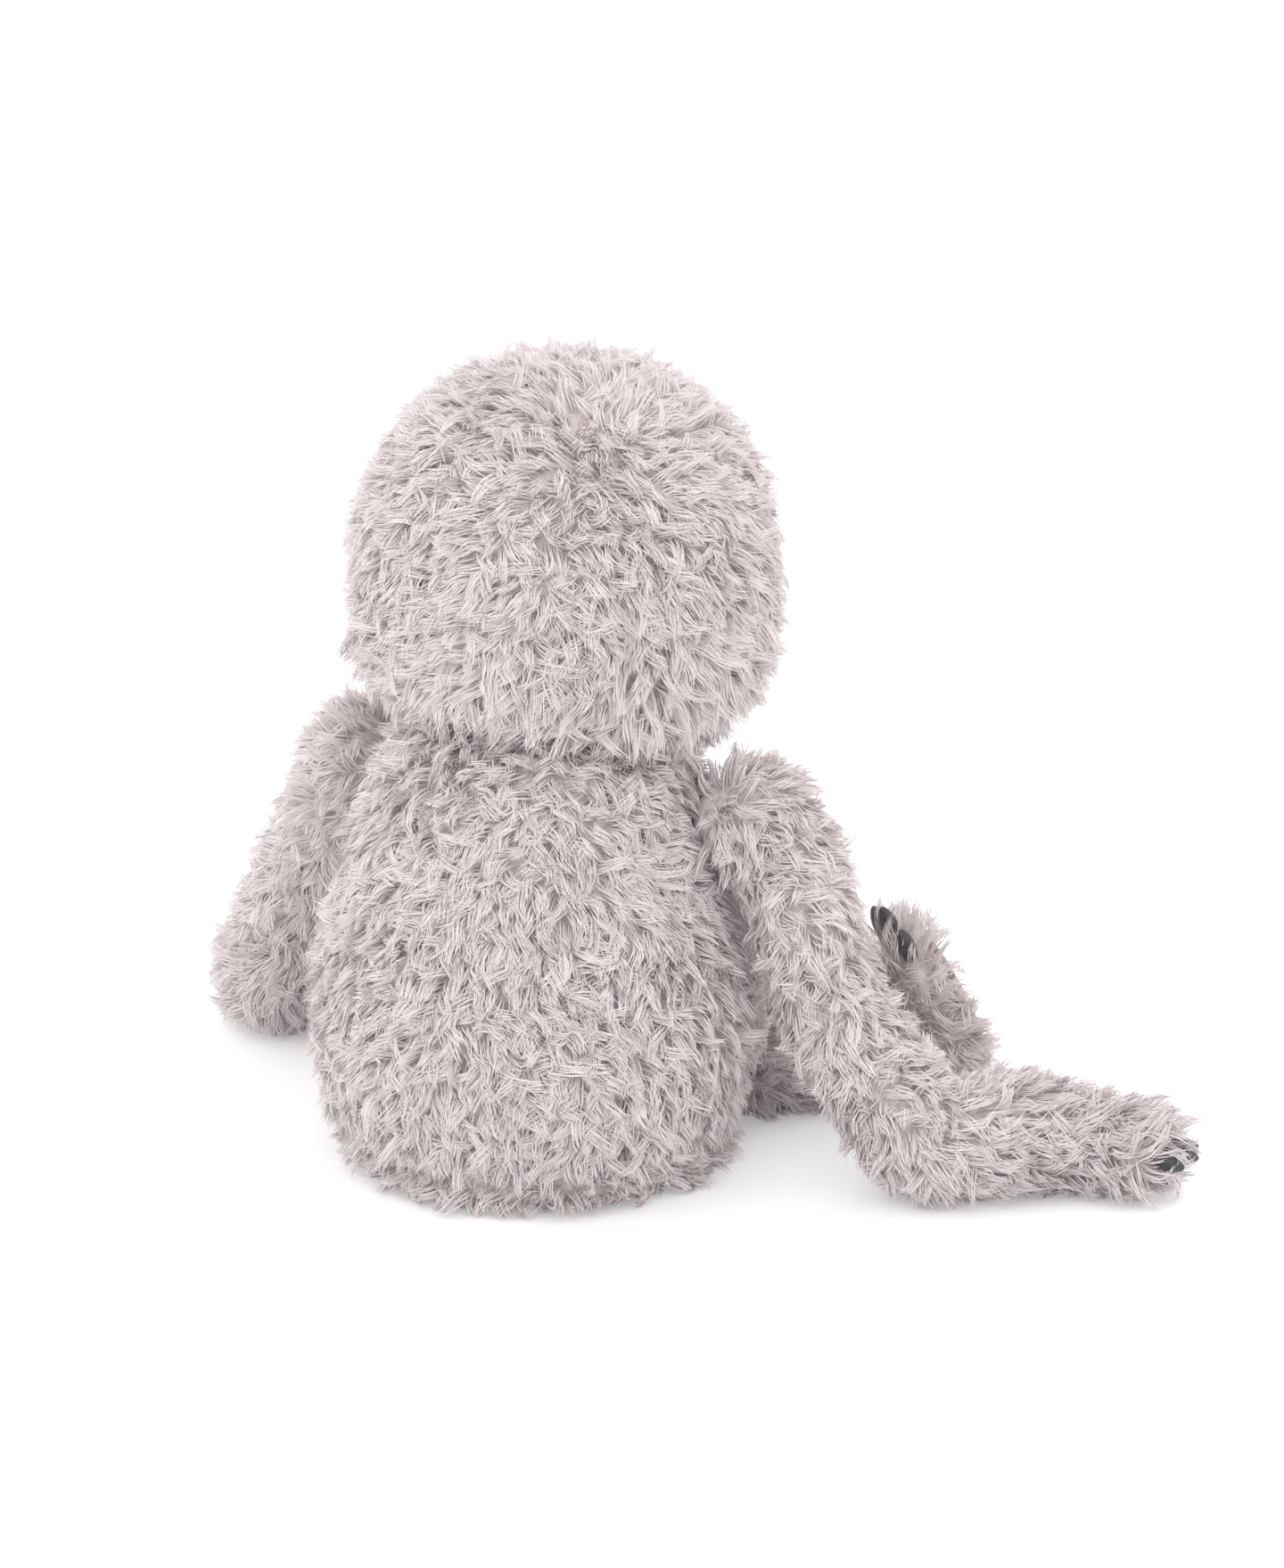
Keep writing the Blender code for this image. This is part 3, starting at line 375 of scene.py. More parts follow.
def tuft_points(roots, normals, combs, lengths, first, last, look):
    """The middle line of each blade of each tuft, and the direction across it."""
    count = len(roots)
    shape = (count, look["blades"], 1)
    stop = np.clip(rng.normal(0, LEAN_VARIES[1], count) + last, *LEAN_RANGE)
    stop = np.radians(stop)[:, None, None]
    start = np.radians(rng.normal(0, LEAN_VARIES[0], count) + first)[:, None, None]
    start = np.minimum(start, stop - 0.1)
    t = STATIONS[None, None, :] * (1 - BLADES_SHORTER * rng.rand(*shape) ** 1.5)
    angle = start + (stop - start) * t
    long = lengths[:, None, None]
    rise = long * (np.sin(angle) - np.sin(start)) / (stop - start)
    run = long * (np.cos(start) - np.cos(angle)) / (stop - start)
    phase = rng.rand(count, 1, 1) * 2 * math.pi
    rate = rng.uniform(*CURL_RATES, (count, 1, 1))
    swing = look["wave"] * rng.uniform(*CURL_SIZES, (count, 1, 1))
    aside = swing * t * (np.sin(phase + rate * t) - np.sin(phase))
    aside = aside + long * rng.normal(0, ASIDE_SHARE, (count, 1, 1)) * t**2
    rise = rise + swing * 0.5 * t * np.cos(phase + rate * t)

    around = rng.rand(*shape) * 2 * math.pi
    out = np.sqrt(rng.rand(*shape)) * look["spread"]
    gather = 1 - GATHER_SHARE * t**1.3
    fray = rng.normal(0, 1, (2, *shape)) * FRAY * t**2
    run = run + out * np.cos(around) * gather + fray[0]
    aside = aside + out * np.sin(around) * gather + fray[1]
    up, ahead, side = (array[:, None, None, :] for array in (normals, combs, np.cross(normals, combs)))
    lines = rise[..., None] * up + run[..., None] * ahead + aside[..., None] * side
    lines = roots[:, None, None, :] + lines
    travel = unit(np.gradient(lines, axis=2))
    across = unit(side - travel * dot(side, travel))
    roll = rng.normal(0, BLADE_ROLL, shape)[..., None]
    return lines, across * np.cos(roll) + np.cross(travel, across) * np.sin(roll)


def ribbon_mesh(name, lines, across, width, columns):
    """A mesh of tapered ribbons, with each one's shade and length laid out in its UV map."""
    count, blades, stations, _ = lines.shape
    total = count * blades
    half = (HALF_WIDTHS * width / 2)[None, None, :, None]
    left, right = lines - across * half, lines + across * half
    lowest = FLOOR_GAP + 0.0006 * rng.rand(count, blades, 1)
    for edge in (left, right):
        edge[..., 2] = np.maximum(edge[..., 2], lowest)
    body = np.stack([left[:, :, :-1], right[:, :, :-1]], axis=3).reshape(total, -1, 3)
    tips = ((left[:, :, -1:] + right[:, :, -1:]) / 2).reshape(total, 1, 3)
    spots = np.concatenate([body, tips], axis=1)
    per = spots.shape[1]
    quads = stations - 2
    pattern = [2 * step + corner for step in range(quads) for corner in (0, 1, 3, 2)]
    pattern = np.array([*pattern, 2 * quads, 2 * quads + 1, per - 1], np.int32)
    loops = pattern[None, :] + (np.arange(total, dtype=np.int32) * per)[:, None]
    starts = np.arange(quads + 1) * 4 + (np.arange(total) * len(pattern))[:, None]

    mesh = bpy.data.meshes.new(name)
    mesh.vertices.add(total * per)
    mesh.vertices.foreach_set("co", spots.ravel())
    mesh.loops.add(loops.size)
    mesh.loops.foreach_set("vertex_index", loops.ravel())
    mesh.polygons.add(starts.size)
    mesh.polygons.foreach_set("loop_start", starts.ravel().astype(np.int32))
    v_of = np.append(np.repeat(STATIONS[:-1], 2), 1.0) * 0.96 + 0.02
    u_of = np.append(np.tile([0.1, 0.9], stations - 1), 0.5)
    layer = mesh.uv_layers.new(name="OFBake")
    u = (np.repeat(columns, blades)[:, None] + u_of[pattern][None, :]) / FUR_COLUMNS
    v = np.broadcast_to(v_of[pattern], u.shape)
    layer.data.foreach_set("uv", np.stack([u, v], axis=-1).ravel())
    mesh.update(calc_edges=True)
    mesh.validate()
    smooth(mesh)
    return mesh


def fur(name, roots, normals, flow, turns, pile, body, growth=1, material=None, slot="fur_fabric", **look):
    """Furs a skin with tufts that lie along flow, each turned by an angle, in as many pieces as they need."""
    tufts = len(roots)
    look = {**LONG_LOOK, **look}
    width = look["width"] * 1
    flat = unit(flow - normals * dot(flow, normals))
    combs = flat * np.cos(turns)[:, None] + np.cross(normals, flat) * np.sin(turns)[:, None]
    lengths = rng.uniform(*pile, tufts) * growth * (1 + STRAY_LONGER * (rng.rand(tufts) < look["stray"]))
    first, last = (value + 0 * lengths for value in look["lean"])
    shade = rng.normal(0.5, PALE_SHARE, tufts) + 0.12 * waver(roots * 1.7, 1.0)
    columns = np.clip(shade * FUR_COLUMNS, 0, FUR_COLUMNS - 1).astype(int)
    pieces = math.ceil(tufts * look["blades"] * (2 * len(STATIONS) - 3) / PIECE_LIMIT)
    order = np.argsort(np.arctan2(roots[:, 0] - roots[:, 0].mean(), roots[:, 1] - roots[:, 1].mean()))
    for number, share in enumerate(np.array_split(order, pieces), start=1):
        arrays = [array[share] for array in (roots, normals, combs, lengths, first, last)]
        label = name if pieces == 1 else f"{name}_{number}"
        mesh = ribbon_mesh(label, *tuft_points(*arrays, look), width, columns[share])
        add_piece(mesh, material or fur_look, slot, body)


def nap(name, roots, normals, source, drop, length, material, slot):
    """Short pile on the face, combed away from a point and a little down."""
    turns = rng.normal(0, 0.35, len(roots))
    flow = unit(roots - source) + [0, 0, -drop]
    fur(name, roots, normals, flow, turns, (0.85, 1.15), "head", length, material, slot, **NAP_LOOK)


# Materials

def feed(item, *ordered, **named):
    """Sets a node's inputs, in order or by name with _ for a space, to values or links to sockets."""
    for key, value in [*enumerate(ordered), *named.items()]:
        target = item.inputs[key if isinstance(key, int) else key.replace("_", " ")]
        if isinstance(value, bpy.types.NodeSocket):
            item.id_data.links.new(value, target)
        else:
            target.default_value = value
    return item


def node(tree, kind, *ordered, operation=None, **named):
    made = tree.nodes.new("ShaderNode" + kind)
    if operation:
        made.operation = operation
    return feed(made, *ordered, **named)


def texture(tree, kind, output="Fac", **named):
    """A texture's output, laid out in the piece's own space."""
    where = node(tree, "TexCoord").outputs["Object"]
    return node(tree, "Tex" + kind, where, **named).outputs[output]


def new_material(name):
    material = bpy.data.materials.new(name)
    material.use_nodes = True
    return material, material.node_tree, material.node_tree.nodes["Principled BSDF"]


def ramp_colour(tree, factor, *stops):
    ramp = node(tree, "ValToRGB", factor)
    elements = ramp.color_ramp.elements
    while len(elements) < len(stops):
        elements.new(0.5)
    for element, (place, colour) in zip(elements, stops):
        element.position = place
        element.color = (*colour, 1)
    return ramp.outputs["Color"]


def finish(shader, colour, height, strength, distance, roughness, specular, sheen=0.0):
    """Gives a shader its colour and gloss, and relief from a height."""
    bump = node(shader.id_data, "Bump", Strength=strength, Distance=distance, Height=height)
    feed(shader, colour, Roughness=roughness, Specular_IOR_Level=specular, Sheen_Weight=sheen)
    feed(shader, Normal=bump.outputs["Normal"])


def fur_material(name, root, middle, tip, contrast):
    """Pile that is darker towards the root, as painted shade of the roots under the tufts, and whose tone
    changes a little from tuft to tuft.
    """
    material, tree, shader = new_material(name)
    uv = node(tree, "UVMap")
    uv.uv_map = "OFBake"
    split = node(tree, "SeparateXYZ", uv.outputs["UV"]).outputs
    # The ramp along the blade darkens the root end: painted shade of the roots under the tufts.
    colour = ramp_colour(tree, split["Y"], (0.0, root), (0.5, middle), (1.0, tip))
    tone = node(tree, "MapRange", split["X"], To_Min=1 - contrast / 2, To_Max=1 + contrast / 2)
    toned = node(tree, "VectorMath", colour, operation="SCALE", Scale=tone.outputs["Result"])
    feed(shader, toned.outputs["Vector"], Roughness=0.75, Specular_IOR_Level=0.25)
    return material


def cloth_material(name, dark, light, grain, depth, roughness=0.95, sheen=0.2):
    """Knitted or brushed cloth: two near shades in a fine grain, with a bump to match."""
    material, tree, shader = new_material(name)
    broad = texture(tree, "Noise", Scale=60)
    fine = texture(tree, "Noise", Scale=grain, Detail=3)
    shade = node(tree, "Math", broad, 0.4, fine, operation="MULTIPLY_ADD").outputs["Value"]
    colour = ramp_colour(tree, shade, (0.35, dark), (1.0, light))
    finish(shader, colour, fine, 0.6, depth, roughness, 0.2, sheen)
    return material


def satin_material(name, dark, light):
    """Satin: a close weave whose threads catch the light."""
    material, tree, shader = new_material(name)
    weave = texture(tree, "Wave", Scale=900, Distortion=2)
    cloud = texture(tree, "Noise", Scale=500)
    colour = ramp_colour(tree, cloud, (0.25, dark), (0.8, light))
    finish(shader, colour, weave, 0.5, 0.00012, 0.34, 0.6, 0.5)
    feed(shader, Sheen_Roughness=0.3)
    return material


def moulded_material(name, dark, light, roughness, grain, depth, specular=0.5):
    """Moulded plastic with a fine grain."""
    material, tree, shader = new_material(name)
    pores = texture(tree, "Voronoi", "Distance", Scale=grain)
    cloud = texture(tree, "Noise", Scale=grain / 3)
    colour = ramp_colour(tree, cloud, (0.3, dark), (0.8, light))
    finish(shader, colour, pores, 0.4, depth, roughness, specular)
    return material


def eye_material(name, black, brown):
    """A glossy bead: a black pupil, a dark brown iris and a black rim, by distance from its axis."""
    material, tree, shader = new_material(name)
    where = node(tree, "TexCoord").outputs["Object"]
    scale = (1 / EYE_RADIUS, 1 / EYE_RADIUS, 0)
    flat = node(tree, "VectorMath", where, scale, operation="MULTIPLY").outputs["Vector"]
    far = node(tree, "VectorMath", flat, operation="LENGTH").outputs["Value"]
    stops = ((0.0, black), (0.42, black), (0.56, brown), (0.66, brown), (0.80, black))
    feed(shader, ramp_colour(tree, far, *stops), Roughness=0.05, Specular_IOR_Level=0.14)
    return material


# The darker root colours of the piles are painted shade of the roots under the tufts. The backings are the
# cloth under the fur, set a little darker than the pile as painted shade at its base.
fur_look = fur_material("fur_pile", (0.87, 0.797, 0.801), (0.90, 0.829, 0.832), (0.89, 0.821, 0.823), 0.07)
face_fur_look = fur_material("face_pile", (0.68, 0.60, 0.545), (0.85, 0.785, 0.73), (0.93, 0.88, 0.835), 0.10)
patch_fur_look = fur_material(
    "patch_pile", (0.07, 0.055, 0.055), (0.12, 0.095, 0.095), (0.20, 0.165, 0.16), 0.20
)
skin_look = cloth_material("fur_backing", (0.78, 0.710, 0.714), (0.87, 0.796, 0.800), 900, 0.0004)
face_skin_look = cloth_material("face_backing", (0.66, 0.59, 0.535), (0.84, 0.775, 0.72), 1200, 0.0003)
patch_skin_look = cloth_material("patch_backing", (0.06, 0.05, 0.05), (0.12, 0.10, 0.10), 1200, 0.0003)
# The neck backing is darker than the other backings: painted shade in the gap under the head.
neck_look = cloth_material("neck_backing", (0.56, 0.505, 0.508), (0.68, 0.615, 0.618), 900, 0.0003)
sole_look = cloth_material("sole_suede", (0.34, 0.285, 0.265), (0.50, 0.43, 0.40), 1500, 0.0002)
thread_look = cloth_material("thread", (0.035, 0.028, 0.028), (0.09, 0.075, 0.075), 3000, 0.0001, 0.7, 0.0)
sole_thread_look = cloth_material("sole_thread", (0.62, 0.55, 0.52), (0.76, 0.69, 0.66), 3000, 0.0001, 0.7, 0.0)
claw_look = satin_material("claw_satin", (0.028, 0.029, 0.034), (0.10, 0.10, 0.112))
eye_look = eye_material("eye_bead", (0.005, 0.004, 0.004), (0.052, 0.025, 0.013))
nose_look = moulded_material(
    "nose_moulding", (0.014, 0.010, 0.009), (0.030, 0.023, 0.021), 0.30, 1600, 0.00008, 0.24
)
washer_look = moulded_material("washer_moulding", (0.55, 0.55, 0.53), (0.68, 0.68, 0.66), 0.45, 900, 0.00005)


# Curves

class Route:
    """A smooth curve through points, read by the length along it."""

    def __init__(self, points):
        ends = [points[0] * 2 - points[1], *points, points[-1] * 2 - points[-2]]
        self.places = [points[0].copy()]
        for before, start, stop, after in zip(ends, ends[1:], ends[2:], ends[3:]):
            for step in range(1, 21):
                t = step / 20
                leave, arrive = (stop - before) / 2, (after - start) / 2
                place = start * (2 * t**3 - 3 * t**2 + 1) + leave * (t**3 - 2 * t**2 + t)
                self.places.append(place + stop * (3 * t**2 - 2 * t**3) + arrive * (t**3 - t**2))
        self.lengths = [0.0]
        for start, stop in zip(self.places, self.places[1:]):
            self.lengths.append(self.lengths[-1] + (stop - start).length)
        self.length = self.lengths[-1]

    def at(self, length):
        """The place at a length along the curve, and the direction of travel there."""
        index = min(bisect_left(self.lengths, length, 1), len(self.lengths) - 1)
        start, stop = self.places[index - 1], self.places[index]
        way = (length - self.lengths[index - 1]) / (self.lengths[index] - self.lengths[index - 1])
        return start.lerp(stop, way), (stop - start).normalized()


def swell(table, share):
    """The radius at a share of a limb's length, eased between the rows of a table."""
    for (share_a, radius_a), (share_b, radius_b) in zip(table, table[1:]):
        if share <= share_b:
            way = (share - share_a) / (share_b - share_a)
            return radius_a + (radius_b - radius_a) * way * way * (3 - 2 * way)
    return table[-1][1]


def limb_line(route, table):
    """Centres and radii along a limb's skin, which stays clear of the floor by the solid's own radius."""
    count = max(2, round(route.length / 0.004))
    line = []
    for step in range(count + 1):
        length = route.length * step / count
        place = route.at(length)[0]
        radius = swell(table, length / route.length)
        place.z = max(place.z, radius + FLOOR_LIFT)
        line.append((place, radius - SKIN_INSET))
    caps = []
    for end, before in ((0, 1), (-1, -2)):
        centre, radius = line[end]
        away = (centre - line[before][0]).normalized()
        angles = [math.radians(angle) for angle in (18, 36, 54, 72, 90)]
        caps.append([(centre + away * radius * math.sin(a), radius * math.cos(a)) for a in angles])
    return [*caps[0][::-1], *line, *caps[1]]


def tube_skin(name, line, around):
    """A skin around a line of (centre, radius), drawn to its end centres, with rings that hardly turn."""
    centres = [centre for centre, radius in line]
    across = (centres[2] - centres[0]).normalized().orthogonal().normalized()
    rings = []
    for index in range(1, len(line) - 1):
        centre, radius = line[index]
        travel = (centres[index + 1] - centres[index - 1]).normalized()
        across = (across - travel * across.dot(travel)).normalized()
        other = travel.cross(across)
        turn = full_turn(around)
        rings.append([centre + (across * math.cos(a) + other * math.sin(a)) * radius for a in turn])
    return skin_mesh(name, rings, centres[0], centres[-1])


def thread_mesh(name, lines, radius):
    """Threads through lines of points, as one mesh."""
    mesh = bpy.data.meshes.new(name)
    with edited(mesh) as work:
        for points in lines:
            route = Route(points)
            count = max(4, round(route.length / (radius * 1.5)))
            line = [(route.at(route.length * step / count)[0], radius) for step in range(count + 1)]
            part = tube_skin(f"{name}_part", line, 8)
            work.from_mesh(part)
            bpy.data.meshes.remove(part)
    return mesh


def frame_at(origin, direction):
    """A frame whose Z looks along a direction, and whose X is level."""
    z_axis = direction.normalized()
    x_axis = Vector((0, 0, 1)).cross(z_axis).normalized()
    turn = Matrix((x_axis, z_axis.cross(x_axis), z_axis)).transposed().to_4x4()
    return Matrix.Translation(origin) @ turn


def in_frame(points, place):
    """The points in a frame's own coordinates."""
    back = np.array(place.inverted())
    return points @ back[:3, :3].T + back[:3, 3]


# Body

def cone_slope():
    return math.asin((SEAT_BALL_RADIUS - CHEST_BALL_RADIUS) / (CHEST_BALL_HEIGHT - SEAT_BALL_HEIGHT))


def arc(centre_radius, centre_height, radius, start, stop, count):
    angles = [start + (stop - start) * step / count for step in range(count + 1)]
    return [(centre_radius + radius * math.cos(a), centre_height + radius * math.sin(a)) for a in angles]


def body_profile(inset):
    """The body's outline from its top to its bottom, moved inwards by inset."""
    slope = cone_slope()
    lip = BASE_SEAM_HEIGHT + BASE_SEAM_WIDTH / 2
    low = -math.asin((SEAT_BALL_HEIGHT - lip) / (SEAT_BALL_RADIUS - inset))
    chest = arc(0, CHEST_BALL_HEIGHT, CHEST_BALL_RADIUS - inset, math.pi / 2, slope, 20)
    seat = arc(0, SEAT_BALL_HEIGHT, SEAT_BALL_RADIUS - inset, slope, low, 16)
    (r0, z0), (r1, z1) = chest[-1], seat[0]
    cone = [(r0 + (r1 - r0) * k / 14, z0 + (z1 - z0) * k / 14) for k in range(1, 14)]
    reach = SEAT_BALL_RADIUS * BASE_ROLL_SHARE
    seam = (reach - BASE_SEAM_DEPTH - inset, BASE_SEAM_HEIGHT)
    centre = (reach - BASE_ROLL_RADIUS, BASE_ROLL_RADIUS)
    roll = arc(*centre, BASE_ROLL_RADIUS - inset, math.radians(48), -math.pi / 2, 6)
    flat = [(roll[-1][0] * k / 6, inset) for k in range(5, -1, -1)]
    return [*chest, *cone, *seat, seam, *roll, *flat]


def shoulder(sign):
    """The centre of an arm's ball, and the direction out of the body there."""
    slope = cone_slope()
    low = (SEAT_BALL_RADIUS * math.cos(slope), SEAT_BALL_HEIGHT + SEAT_BALL_RADIUS * math.sin(slope))
    high = (CHEST_BALL_RADIUS * math.cos(slope), CHEST_BALL_HEIGHT + CHEST_BALL_RADIUS * math.sin(slope))
    out, height = [a + (b - a) * SHOULDER_RISE_SHARE for a, b in zip(low, high)]
    angle = SHOULDER_FORWARD_ANGLE
    plan = Vector((sign * math.cos(angle), -math.sin(angle), 0))
    normal = plan * math.cos(slope) + Vector((0, 0, math.sin(slope)))
    distance = SHOULDER_RADIUS + CLEARANCE - LIMB_PRESS
    return plan * out + Vector((0, 0, height)) + normal * distance, normal


def hip(sign):
    """The centre of a leg's ball."""
    distance = SEAT_BALL_RADIUS + LEG_RADIUS + CLEARANCE - LIMB_PRESS
    height = LEG_RADIUS + FLOOR_LIFT
    out = math.sqrt(distance**2 - (SEAT_BALL_HEIGHT - height) ** 2)
    return Vector((sign * out * math.sin(HIP_SPLAY), -out * math.cos(HIP_SPLAY), height))


def make_body():
    """The body's skin, with stubs that reach into the limbs, and its fur."""
    mesh = turned_skin("body_skin", body_profile(SKIN_INSET), 96)
    lumped(mesh, *BODY_LUMPS)
    roots, normals = scattered(mesh, SPACING)
    keep = ~in_head(roots, HEAD_OVERLAP) & (np.abs(roots[:, 2] - BASE_SEAM_HEIGHT) > SEAM_PARTING)
    with edited(mesh) as work:
        for sign in (-1, 1):
            arm, outward = shoulder(sign)
            leg = hip(sign)
            inward = (Vector((0, 0, SEAT_BALL_HEIGHT)) - leg).normalized()
            for centre, radius, way in ((arm, SHOULDER_RADIUS, -outward), (leg, LEG_RADIUS, inward)):
                keep &= away_from(roots, centre, radius - LIMB_PARTING)
                stub = {"radius": radius * STUB_SHARE, "matrix": Matrix.Translation(centre + way * radius / 2)}
                bmesh.ops.create_uvsphere(work, u_segments=24, v_segments=12, **stub)
    nodes = ("base_panel", "back_panel_left", "back_panel_right", "belly_panel", "body_filling", "pellet_pouch")
    add_piece(mesh, skin_look, "fur_fabric", "torso", *nodes, padded=0.85)

    under = (normals[:, 2] < -0.8) & (roots[:, 2] < 0.006)
    flat_roots, flat_normals = roots[under], normals[under]
    keep &= ~under
    roots, normals = roots[keep], normals[keep]
    outward = unit(roots * [1, 1, 0])
    roll = roots[:, 2] < BASE_SEAM_HEIGHT
    flow = np.where(roll[:, None], outward + [0, 0, -0.6], outward * 0.35 + [0, 0, -1])
    turns = waver(roots, 0.6) + rng.normal(0, 0.60, len(roots))
    hem = np.clip(1 - (roots[:, 2] - BASE_SEAM_HEIGHT) / HEM_HEIGHT, 0, 1) * ~roll
    lean = (20 - 14 * hem - 8 * roll, 80 - 56 * hem - 26 * roll)
    growth = 1 - 0.16 * hem - 0.14 * roll
    growth[in_head(roots, 0.002)] *= 0.6
    fur("body_fur", roots, normals, flow, turns, BODY_PILE, "torso", growth, lean=lean)

    flow = unit(flat_roots * [1, 1, 0])
    turns = rng.normal(0, 0.6, len(flow))
    look = {"blades": 6, "lean": (60, 92), "width": 0.0007}
    fur("base_fur", flat_roots, flat_normals, flow, turns, BASE_PILE, "torso", **look)


# Head

def head_centre():
    height = CHEST_BALL_HEIGHT + CHEST_BALL_RADIUS - HEAD_SINK + HEAD_HALF_HEIGHT
    return Vector((0, -HEAD_FORWARD, height))


def head_level(share):
    return head_centre().z + HEAD_HALF_HEIGHT * share


def head_width_at(rise, inset):
    """The head's half width at heights above its centre, inset from its surface."""
    power = np.where(np.array(rise) > 0, CROWN_POWER, JOWL_POWER)
    share = np.clip(np.abs(rise) / (HEAD_HALF_HEIGHT - inset), 0, 1)
    return (HEAD_RADIUS - inset) * (1 - share**power) ** (1 / power)


def in_head(points, sunk):
    """Whether each point lies inside the head's form, by more than sunk below its surface."""
    rel = points - np.array(head_centre())
    rel[:, 1] *= HEAD_RADIUS / HEAD_DEPTH_RADIUS
    return np.linalg.norm(rel[:, :2], axis=1) < head_width_at(rel[:, 2], sunk)


def face_depth(out, height):
    """Y of the head's surface in front, at a place to the side and a height."""
    width = head_width_at(height - head_centre().z, 0.0)
    squeeze = HEAD_DEPTH_RADIUS / HEAD_RADIUS
    return -HEAD_FORWARD - squeeze * math.sqrt(max(0.0, width**2 - out**2))


def face_frame(out, height):
    """A frame on the head's surface, whose Z stands off it."""
    nudge = CLOTH
    slope_x = (face_depth(out + nudge, height) - face_depth(out - nudge, height)) / (2 * nudge)
    slope_z = (face_depth(out, height + nudge) - face_depth(out, height - nudge)) / (2 * nudge)
    return frame_at(Vector((out, face_depth(out, height), height)), Vector((slope_x, -1, slope_z)))


def face_point(out, height, lift):
    """A point lifted off the head's surface."""
    return face_frame(out, height) @ Vector((0, 0, lift))


def face_share(points):
    """How far out each point is in the face's oval: 1 at its edge, and large behind the head."""
    rise = points[:, 2] - head_level(FACE_RISE_SHARE)
    share = oval(points[:, 0], FACE_HALF_WIDTH, rise, FACE_HALF_HEIGHT)
    return np.where(points[:, 1] < -HEAD_FORWARD, share, 9.0)


def make_hood():
    """The head's furred skin, hollowed below where the chest fits into it."""
    half = HEAD_HALF_HEIGHT - SKIN_INSET
    rises = [half * math.sin(a) for a in half_turn(56)]
    profile = [(head_width_at(rise, SKIN_INSET), rise) for rise in rises]
    mesh = turned_skin("head_skin", profile, 96, HEAD_DEPTH_RADIUS / HEAD_RADIUS, head_centre())
    lumped(mesh, *HEAD_LUMPS)
    spots = places(mesh)
    pivot = np.array([0, 0, CHEST_BALL_HEIGHT])
    rel = spots - pivot
    distance = np.linalg.norm(rel, axis=1)
    hollow = CHEST_BALL_RADIUS - SKIN_INSET + 0.0008
    low = distance < hollow
    spots[low] = pivot + rel[low] * (hollow / distance[low])[:, None]
    set_places(mesh, spots)
    nodes = ("head_back_left", "head_back_right", "head_filling")
    add_piece(mesh, skin_look, "fur_fabric", "head", *nodes, padded=0.9)

    roots, normals = scattered(mesh, SPACING)
    edge = face_share(roots)
    keep = away_from(roots, pivot, hollow + 0.0012) & (edge > 1.02)
    roots, normals, edge = roots[keep], normals[keep], edge[keep]
    spoke = unit(roots - np.array(head_centre()))
    facing = dot(spoke, WHORL)
    away = (roots - [0, 0, head_level(FACE_RISE_SHARE)]) * [1, 0, 1]
    rim = np.clip(1 - (edge - 1.0) / FACE_RIM_WIDTH, 0, 1)
    flow = (unit(spoke * facing - WHORL) + [0, 0, -0.18]) * (1 - rim[:, None])
    flow = flow + unit(away) * rim[:, None] * 1.5
    near = np.exp(-((1 - facing[:, 0]) / WHORL_SIZE))
    turns = waver(roots * 1.2, 0.5) + rng.normal(0, 0.55, len(roots)) + near * rng.normal(0, 1.6, len(roots))
    cheek = fade(-spoke[:, 2], 0.15, 0.35) * np.clip(np.abs(spoke[:, 0]) * 1.6 - 0.3, 0, 1)
    lean = (20 - 4 * near, 78 - 10 * near - 24 * cheek)
    growth = (1 + 0.42 * cheek) * (1 - 0.22 * rim)
    fur("head_fur", roots, normals, flow, turns, HEAD_PILE, "head", growth, lean=lean)


def make_hood_rim():
    """A row of tufts that hides the hood's edge round the face."""
    angle = (np.arange(RIM_TUFTS) + rng.rand(RIM_TUFTS)) * 2 * math.pi / RIM_TUFTS
    wide = 1.01 + 0.05 * rng.rand(RIM_TUFTS)
    outs = FACE_HALF_WIDTH * np.cos(angle) * wide
    heights = head_level(FACE_RISE_SHARE) + FACE_HALF_HEIGHT * np.sin(angle) * wide
    frames = [face_frame(out, height) for out, height in zip(outs, heights)]
    roots = np.array([(place @ Vector((0, 0, -SKIN_INSET * 0.8)))[:] for place in frames])
    normals = np.array([place.col[2][:3] for place in frames])
    away = np.stack([np.cos(angle), 0 * angle, np.sin(angle)], axis=1)
    turns = rng.normal(0, 0.8, RIM_TUFTS)
    look = {"lean": (8, 52), "blades": 18, "spread": 0.0020}
    fur("hood_rim_fur", roots, normals, away, turns, RIM_PILE, "head", **look)


def make_neck():
    """The cloth that closes the head's opening, darker as painted shade under the head, with its own short fur.
    """
    radius = CHEST_BALL_RADIUS + CLEARANCE + NECK_CLOTH
    top, edge = math.pi / 2, math.pi / 2 - math.asin(NECK_CLOTH_RADIUS / radius)
    outer = arc(0, CHEST_BALL_HEIGHT, radius, top, edge, 10)
    inner = arc(0, CHEST_BALL_HEIGHT, radius - NECK_CLOTH, edge, top, 10)
    mesh = turned_skin("neck_cloth", [*outer, *inner], 64)
    add_piece(mesh, neck_look, "neck_cloth", "neck", "neck_disc")
    roots, normals = scattered(mesh, LIMB_SPACING)
    slant = unit(roots - [0, 0, CHEST_BALL_HEIGHT])
    keep = (dot(slant, normals)[:, 0] > 0.5) & (slant[:, 2] < 0.985)
    roots, normals = roots[keep], normals[keep]
    turns = rng.normal(0, 0.6, len(roots))
    fur("neck_fur", roots, normals, np.array([0, 0, -1.0]), turns, NECK_PILE, "neck", lean=(24, 80))


# Face

def muzzle_place():
    height = head_level(MUZZLE_RISE_SHARE)
    return Vector((0, face_depth(0, height), height))


def muzzle_point(out, height, lift):
    """A point on the front of the muzzle, lifted along Y."""
    place = muzzle_place()
    share = (out / MUZZLE_HALF_WIDTH) ** 2 + ((height - place.z) / MUZZLE_HALF_HEIGHT) ** 2
    return Vector((out, place.y - MUZZLE_DEPTH * math.sqrt(max(0.0, 1 - share)) - lift, height))


